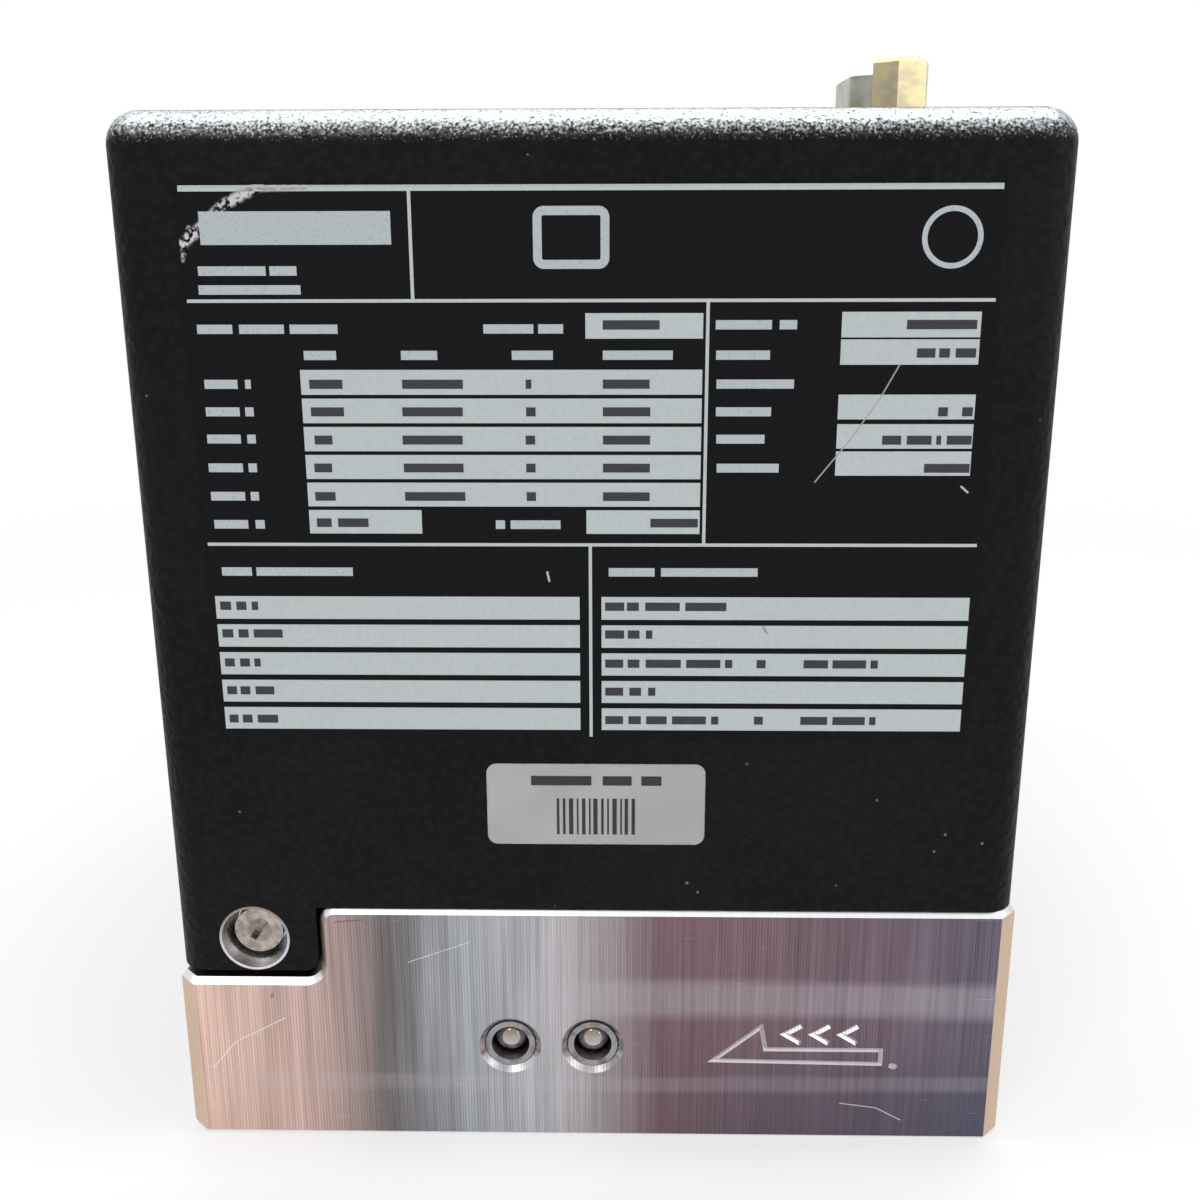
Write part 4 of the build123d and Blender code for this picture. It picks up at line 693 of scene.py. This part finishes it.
def groove_cutter(points, width, closed):
    """A V-shaped bar that follows (x, z) points on the block's front, with mitred corners."""
    count = len(points)
    work = bmesh.new()
    rings = []
    for i, (x, z) in enumerate(points):
        here = Vector((x, z))
        before = here - Vector(points[i - 1]) if closed or i else None
        after = Vector(points[(i + 1) % count]) - here if closed or i < count - 1 else None
        first = (before or after).normalized()
        second = (after or before).normalized()
        normal = Vector((-first.y - second.y, first.x + second.x)).normalized()
        stretch = 1.0 / max(0.35, normal.dot(Vector((-first.y, first.x))))
        reach = width * stretch
        # The bar starts as far in front of the face as the groove is deep, so there it is
        # twice as wide as the groove is at the face
        outer, inner = here + normal * reach, here - normal * reach
        lift = BLOCK_FRONT - GROOVE_DEPTH
        ring = [
            work.verts.new(Vector((outer.x, lift, outer.y)) * MM),
            work.verts.new(Vector((inner.x, lift, inner.y)) * MM),
            work.verts.new(Vector((x, BLOCK_FRONT + GROOVE_DEPTH, z)) * MM),
        ]
        rings.append(ring)
    pairs = list(zip(rings, rings[1:] + rings[:1]))
    for first, second in pairs if closed else pairs[:-1]:
        for j in range(3):
            k = (j + 1) % 3
            work.faces.new((first[j], first[k], second[k], second[j]))
    if not closed:
        work.faces.new(rings[0][::-1])
        work.faces.new(rings[-1])
    bmesh.ops.recalc_face_normals(work, faces=work.faces)
    mesh = bpy.data.meshes.new("groove_cutter")
    work.to_mesh(mesh)
    work.free()
    cutter = bpy.data.objects.new("groove_cutter", mesh)
    scene.collection.objects.link(cutter)
    return cutter


def engraved_block():
    """The gas block with the half arrow and the chevrons cut in its front."""
    block = bpy.data.objects.new("gas_block_engraved", welded_copy("gas_block"))
    scene.collection.objects.link(block)
    cutters = [groove_cutter(ARROW, ARROW_GROOVE, True)]
    reach, rise = CHEVRON_SIZE
    for tip in CHEVRON_TIPS:
        points = (
            (tip + reach, CHEVRON_MIDDLE + rise),
            (tip, CHEVRON_MIDDLE),
            (tip + reach, CHEVRON_MIDDLE - rise),
        )
        cutters.append(groove_cutter(points, CHEVRON_GROOVE, False))
    for cutter in cutters:
        cut = block.modifiers.new("engrave", "BOOLEAN")
        cut.operation = "DIFFERENCE"
        cut.solver = "EXACT"
        cut.object = cutter
    mesh = evaluated_mesh(block, "gas_block_engraved")
    for helper in (block, *cutters):
        bpy.data.objects.remove(helper)
    return mesh


# Smooth-shaded copies of the CAD nodes that the eye meets
for node in (
    "cover", "cover_screws", "cup_washers", "plug_sleeves", "plug_balls",
    "dsub_front_shell", "dsub_insulator", "dsub_pins", "jackscrews",
):
    finish = finish_of_node.get(node) or finish_of_slot[slot_of_node[node]]
    piece = new_piece(
        node + "_smooth", smoothed(welded_copy(node)), finish,
        body_of_node[node],
    )
    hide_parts(node)
block = new_piece("gas_block_engraved", smoothed(engraved_block()), aluminium)
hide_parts("gas_block")


class Maker(Tree):
    """A Geometry Nodes tree with named sizes. It is run once and leaves a plain mesh."""

    def __init__(self, name, sizes):
        super().__init__(bpy.data.node_groups.new(name, "GeometryNodeTree"))
        sockets = self.tree.interface
        sockets.new_socket("Seed", in_out="INPUT", socket_type="NodeSocketGeometry")
        sockets.new_socket("Result", in_out="OUTPUT", socket_type="NodeSocketGeometry")
        self.keys = {}
        for key, (kind, value) in sizes.items():
            socket = sockets.new_socket(key, in_out="INPUT", socket_type=kind)
            self.keys[key] = (socket.identifier, value)
        self.entry = self.add("NodeGroupInput").outputs
        self.exit = self.add("NodeGroupOutput").inputs

    def size(self, key):
        return Value(self, self.entry[key])

    def finish_with(self, instances, material):
        real = self.add("GeometryNodeRealizeInstances", {}, {0: instances})
        painted = self.add(
            "GeometryNodeSetMaterial", {}, {"Geometry": real.outputs[0], "Material": material}
        )
        self.feed(self.exit[0], painted.outputs[0])

    def run(self, seed, name):
        helper = bpy.data.objects.new("maker_helper", seed)
        scene.collection.objects.link(helper)
        modifier = helper.modifiers.new(name, "NODES")
        modifier.node_group = self.tree
        for identifier, value in self.keys.values():
            modifier[identifier] = value
        mesh = evaluated_mesh(helper, name)
        bpy.data.objects.remove(helper)
        return mesh


def points_mesh(places, **attributes):
    """A mesh of loose points in metres, with a vector attribute for each keyword."""
    mesh = bpy.data.meshes.new("places")
    mesh.from_pydata([Vector(place) * MM for place in places], [], [])
    for key, vectors in attributes.items():
        layer = mesh.attributes.new(key, "FLOAT_VECTOR", "POINT")
        for item, vector in zip(layer.data, vectors):
            item.vector = Vector(vector) * MM
    return mesh


def bars(name, rows, height, front, material):
    """Thin bars of print on a face: rows of (height on the face, ((left, width), ...))."""
    places, sizes = [], []
    for z, row in rows:
        for left, width in row:
            places.append((left + width / 2, front, z))
            sizes.append((width, 2 * INK, height))
    maker = Maker(name + "_maker", {})
    unit = maker.add("GeometryNodeMeshCube", {}, {"Size": (1.0, 1.0, 1.0)})
    size = maker.add(
        "GeometryNodeInputNamedAttribute", {"data_type": "FLOAT_VECTOR"}, {"Name": "bar"}
    )
    spread = maker.add(
        "GeometryNodeInstanceOnPoints",
        {},
        {"Points": maker.entry["Seed"], "Instance": unit.outputs[0], "Scale": size.outputs[0]},
    )
    maker.finish_with(spread.outputs[0], material)
    return new_piece(name, maker.run(points_mesh(places, bar=sizes), name), material)


def outline(name, mark, front, material):
    """A flat rounded outline of print: ((middle x, z), (half sizes), corner radius, line)."""
    (x, z), (half_x, half_z), radius, line = mark
    steps = 12
    loops = []
    for inset in (0.0, line):
        loop = []
        corner = max(radius - inset, 0.05)
        for turn in range(4):
            sign_x = (1, -1, -1, 1)[turn]
            sign_z = (1, 1, -1, -1)[turn]
            for step in range(steps + 1):
                angle = math.pi / 2 * (turn + step / steps)
                centre_x = x + sign_x * (half_x - radius)
                centre_z = z + sign_z * (half_z - radius)
                loop.append((centre_x + corner * math.cos(angle),
                             centre_z + corner * math.sin(angle)))
        loops.append(loop)
    work = bmesh.new()
    rings = [
        [work.verts.new(Vector((px, y, pz)) * MM) for px, pz in loop]
        for loop, y in (
            (loops[0], front - INK), (loops[1], front - INK),
            (loops[1], front + INK), (loops[0], front + INK),
        )
    ]
    count = len(loops[0])
    for a, b in zip(rings, rings[1:] + rings[:1]):
        for i in range(count):
            k = (i + 1) % count
            work.faces.new((a[i], a[k], b[k], b[i]))
    bmesh.ops.remove_doubles(work, verts=work.verts, dist=2 * WELD * MM)
    bmesh.ops.recalc_face_normals(work, faces=work.faces)
    mesh = bpy.data.meshes.new(name)
    work.to_mesh(mesh)
    work.free()
    return new_piece(name, mesh, material)


bars("white_words", WHITE_WORDS, WORD_HEIGHT, LABEL_FRONT, white_ink)
bars("dark_words", DARK_WORDS, WORD_HEIGHT, FIELD_FRONT, dark_ink)
for name, (left, right, low, high) in (("head_bar", HEAD_BAR), ("top_line", TOP_LINE)):
    row = ((low + high) / 2, ((left, right - left),))
    bars(name, (row,), high - low, LABEL_FRONT, white_ink)
for name, mark in (("frame_mark", FRAME_MARK), ("ring_mark", RING_MARK)):
    outline(name, mark, LABEL_FRONT, white_ink)
bars("sticker_words", STICKER_WORDS, 1.15, STICKER_FRONT, sticker_ink)
bars("sticker_stripes", ((STRIPE_MIDDLE, STRIPES),), STRIPE_HEIGHT, STICKER_FRONT,
     sticker_ink)


def threads(name, mouths, turn, bore, pitch, length):
    """Thread ridges inside tapped holes: one ridge wound round each bore from its mouth."""
    maker = Maker(
        name + "_maker",
        {
            "Bore": ("NodeSocketFloat", bore * MM),
            "Pitch": ("NodeSocketFloat", pitch * MM),
            "Length": ("NodeSocketFloat", length * MM),
            "Turn": ("NodeSocketVector", turn),
        },
    )
    bore_size, pitch_size, length_size = (maker.size(k) for k in ("Bore", "Pitch", "Length"))
    helix = maker.add(
        "GeometryNodeCurveSpiral",
        {},
        {
            "Resolution": 32,
            "Rotations": length_size / pitch_size,
            "Start Radius": bore_size,
            "End Radius": bore_size,
            "Height": length_size,
        },
    )
    section = maker.add(
        "GeometryNodeCurvePrimitiveCircle", {}, {"Resolution": 3, "Radius": pitch_size * 0.36}
    )
    ridge = maker.add(
        "GeometryNodeCurveToMesh", {},
        {"Curve": helix.outputs[0], "Profile Curve": section.outputs[0], "Fill Caps": True},
    )
    spread = maker.add(
        "GeometryNodeInstanceOnPoints",
        {},
        {
            "Points": maker.entry["Seed"],
            "Instance": ridge.outputs[0],
            "Rotation": maker.entry["Turn"],
        },
    )
    maker.finish_with(spread.outputs[0], aluminium)
    mesh = maker.run(points_mesh(mouths), name)
    return new_piece(name, mesh, aluminium)


quarter = math.pi / 2
threads("outlet_threads", [(-THREAD_START, y, FLOW_HEIGHT) for y in CHANNELS], (0.0, quarter, 0.0),
        PORT_BORE, PORT_THREAD_PITCH, PORT_THREAD_LENGTH)
threads("inlet_threads", [(THREAD_START, y, FLOW_HEIGHT) for y in CHANNELS], (0.0, -quarter, 0.0),
        PORT_BORE, PORT_THREAD_PITCH, PORT_THREAD_LENGTH)
threads("foot_threads", [(x, y, 0.5) for x, y in FEET], (0.0, 0.0, 0.0),
        FOOT_BORE, FOOT_THREAD_PITCH, FOOT_THREAD_LENGTH)


# Studio


def lamp(name, place, aim, size, power):
    light = bpy.data.lights.new(name, "AREA")
    light.shape = "RECTANGLE"
    light.size, light.size_y = size
    light.energy = power
    holder = bpy.data.objects.new(name, light)
    scene.collection.objects.link(holder)
    holder.location = Vector(place)
    holder.rotation_euler = (Vector(aim) - Vector(place)).to_track_quat("-Z", "Y").to_euler()


floor_work = bmesh.new()
bmesh.ops.create_grid(floor_work, x_segments=8, y_segments=8, size=1.6)
floor_mesh = bpy.data.meshes.new("studio_floor")
floor_work.to_mesh(floor_mesh)
floor_work.free()
floor_mesh.materials.append(floor_paint())
floor = bpy.data.objects.new("studio_floor", floor_mesh)
scene.collection.objects.link(floor)

lamp("key_lamp", (-0.35, -0.75, 0.75), (0.0, 0.0, 0.06), (0.5, 0.4), 2.4)
lamp("fill_lamp", (0.65, -0.55, 0.35), (0.0, 0.0, 0.06), (0.4, 0.4), 1.2)
lamp("top_lamp", (0.05, 0.3, 0.9), (0.0, 0.0, 0.1), (0.7, 0.5), 3.4)
lamp("strip_lamp", (0.0, -0.05, 0.52), (0.0, -0.05, 0.12), (0.6, 0.05), 1.3)

world = bpy.data.worlds.new("studio")
world.use_nodes = True
scene.world = world
air = Tree(world.node_tree)
world.node_tree.nodes.clear()
soft = air.add("ShaderNodeBackground", {}, {"Color": (0.95, 0.97, 1.0, 1.0), "Strength": 0.5})
white = air.add("ShaderNodeBackground", {}, {"Color": (1.0, 1.0, 1.0, 1.0), "Strength": 1.0})
both = air.add(
    "ShaderNodeMixShader", {}, {0: seen_rays(air), 1: soft.outputs[0], 2: white.outputs[0]}
)
air.add("ShaderNodeOutputWorld", {}, {"Surface": both.outputs[0]})

# Camera, at the photograph's place
CAMERA_PLACE = (3.73, -196.16, 109.53)
PITCH, YAW, ROLL = (math.radians(angle) for angle in (16.02, -1.09, -0.16))
FOCAL_LENGTH = 40.206
SENSOR = 36.0
ahead = Vector(
    (math.sin(YAW) * math.cos(PITCH), math.cos(YAW) * math.cos(PITCH), -math.sin(PITCH))
)
level_right = Vector((math.cos(YAW), -math.sin(YAW), 0.0))
level_up = level_right.cross(ahead)
right_way = math.cos(ROLL) * level_right + math.sin(ROLL) * level_up
up_way = math.cos(ROLL) * level_up - math.sin(ROLL) * level_right
camera_data = bpy.data.cameras.new("camera")
camera_data.lens = FOCAL_LENGTH
camera_data.sensor_width = SENSOR
camera_data.clip_start, camera_data.clip_end = 0.01, 10.0
camera = bpy.data.objects.new("camera", camera_data)
scene.collection.objects.link(camera)
axes = Matrix((right_way, up_way, -ahead)).transposed().to_4x4()
camera.matrix_world = Matrix.Translation(Vector(CAMERA_PLACE) * MM) @ axes
scene.camera = camera
scene.view_settings.view_transform = "Standard"
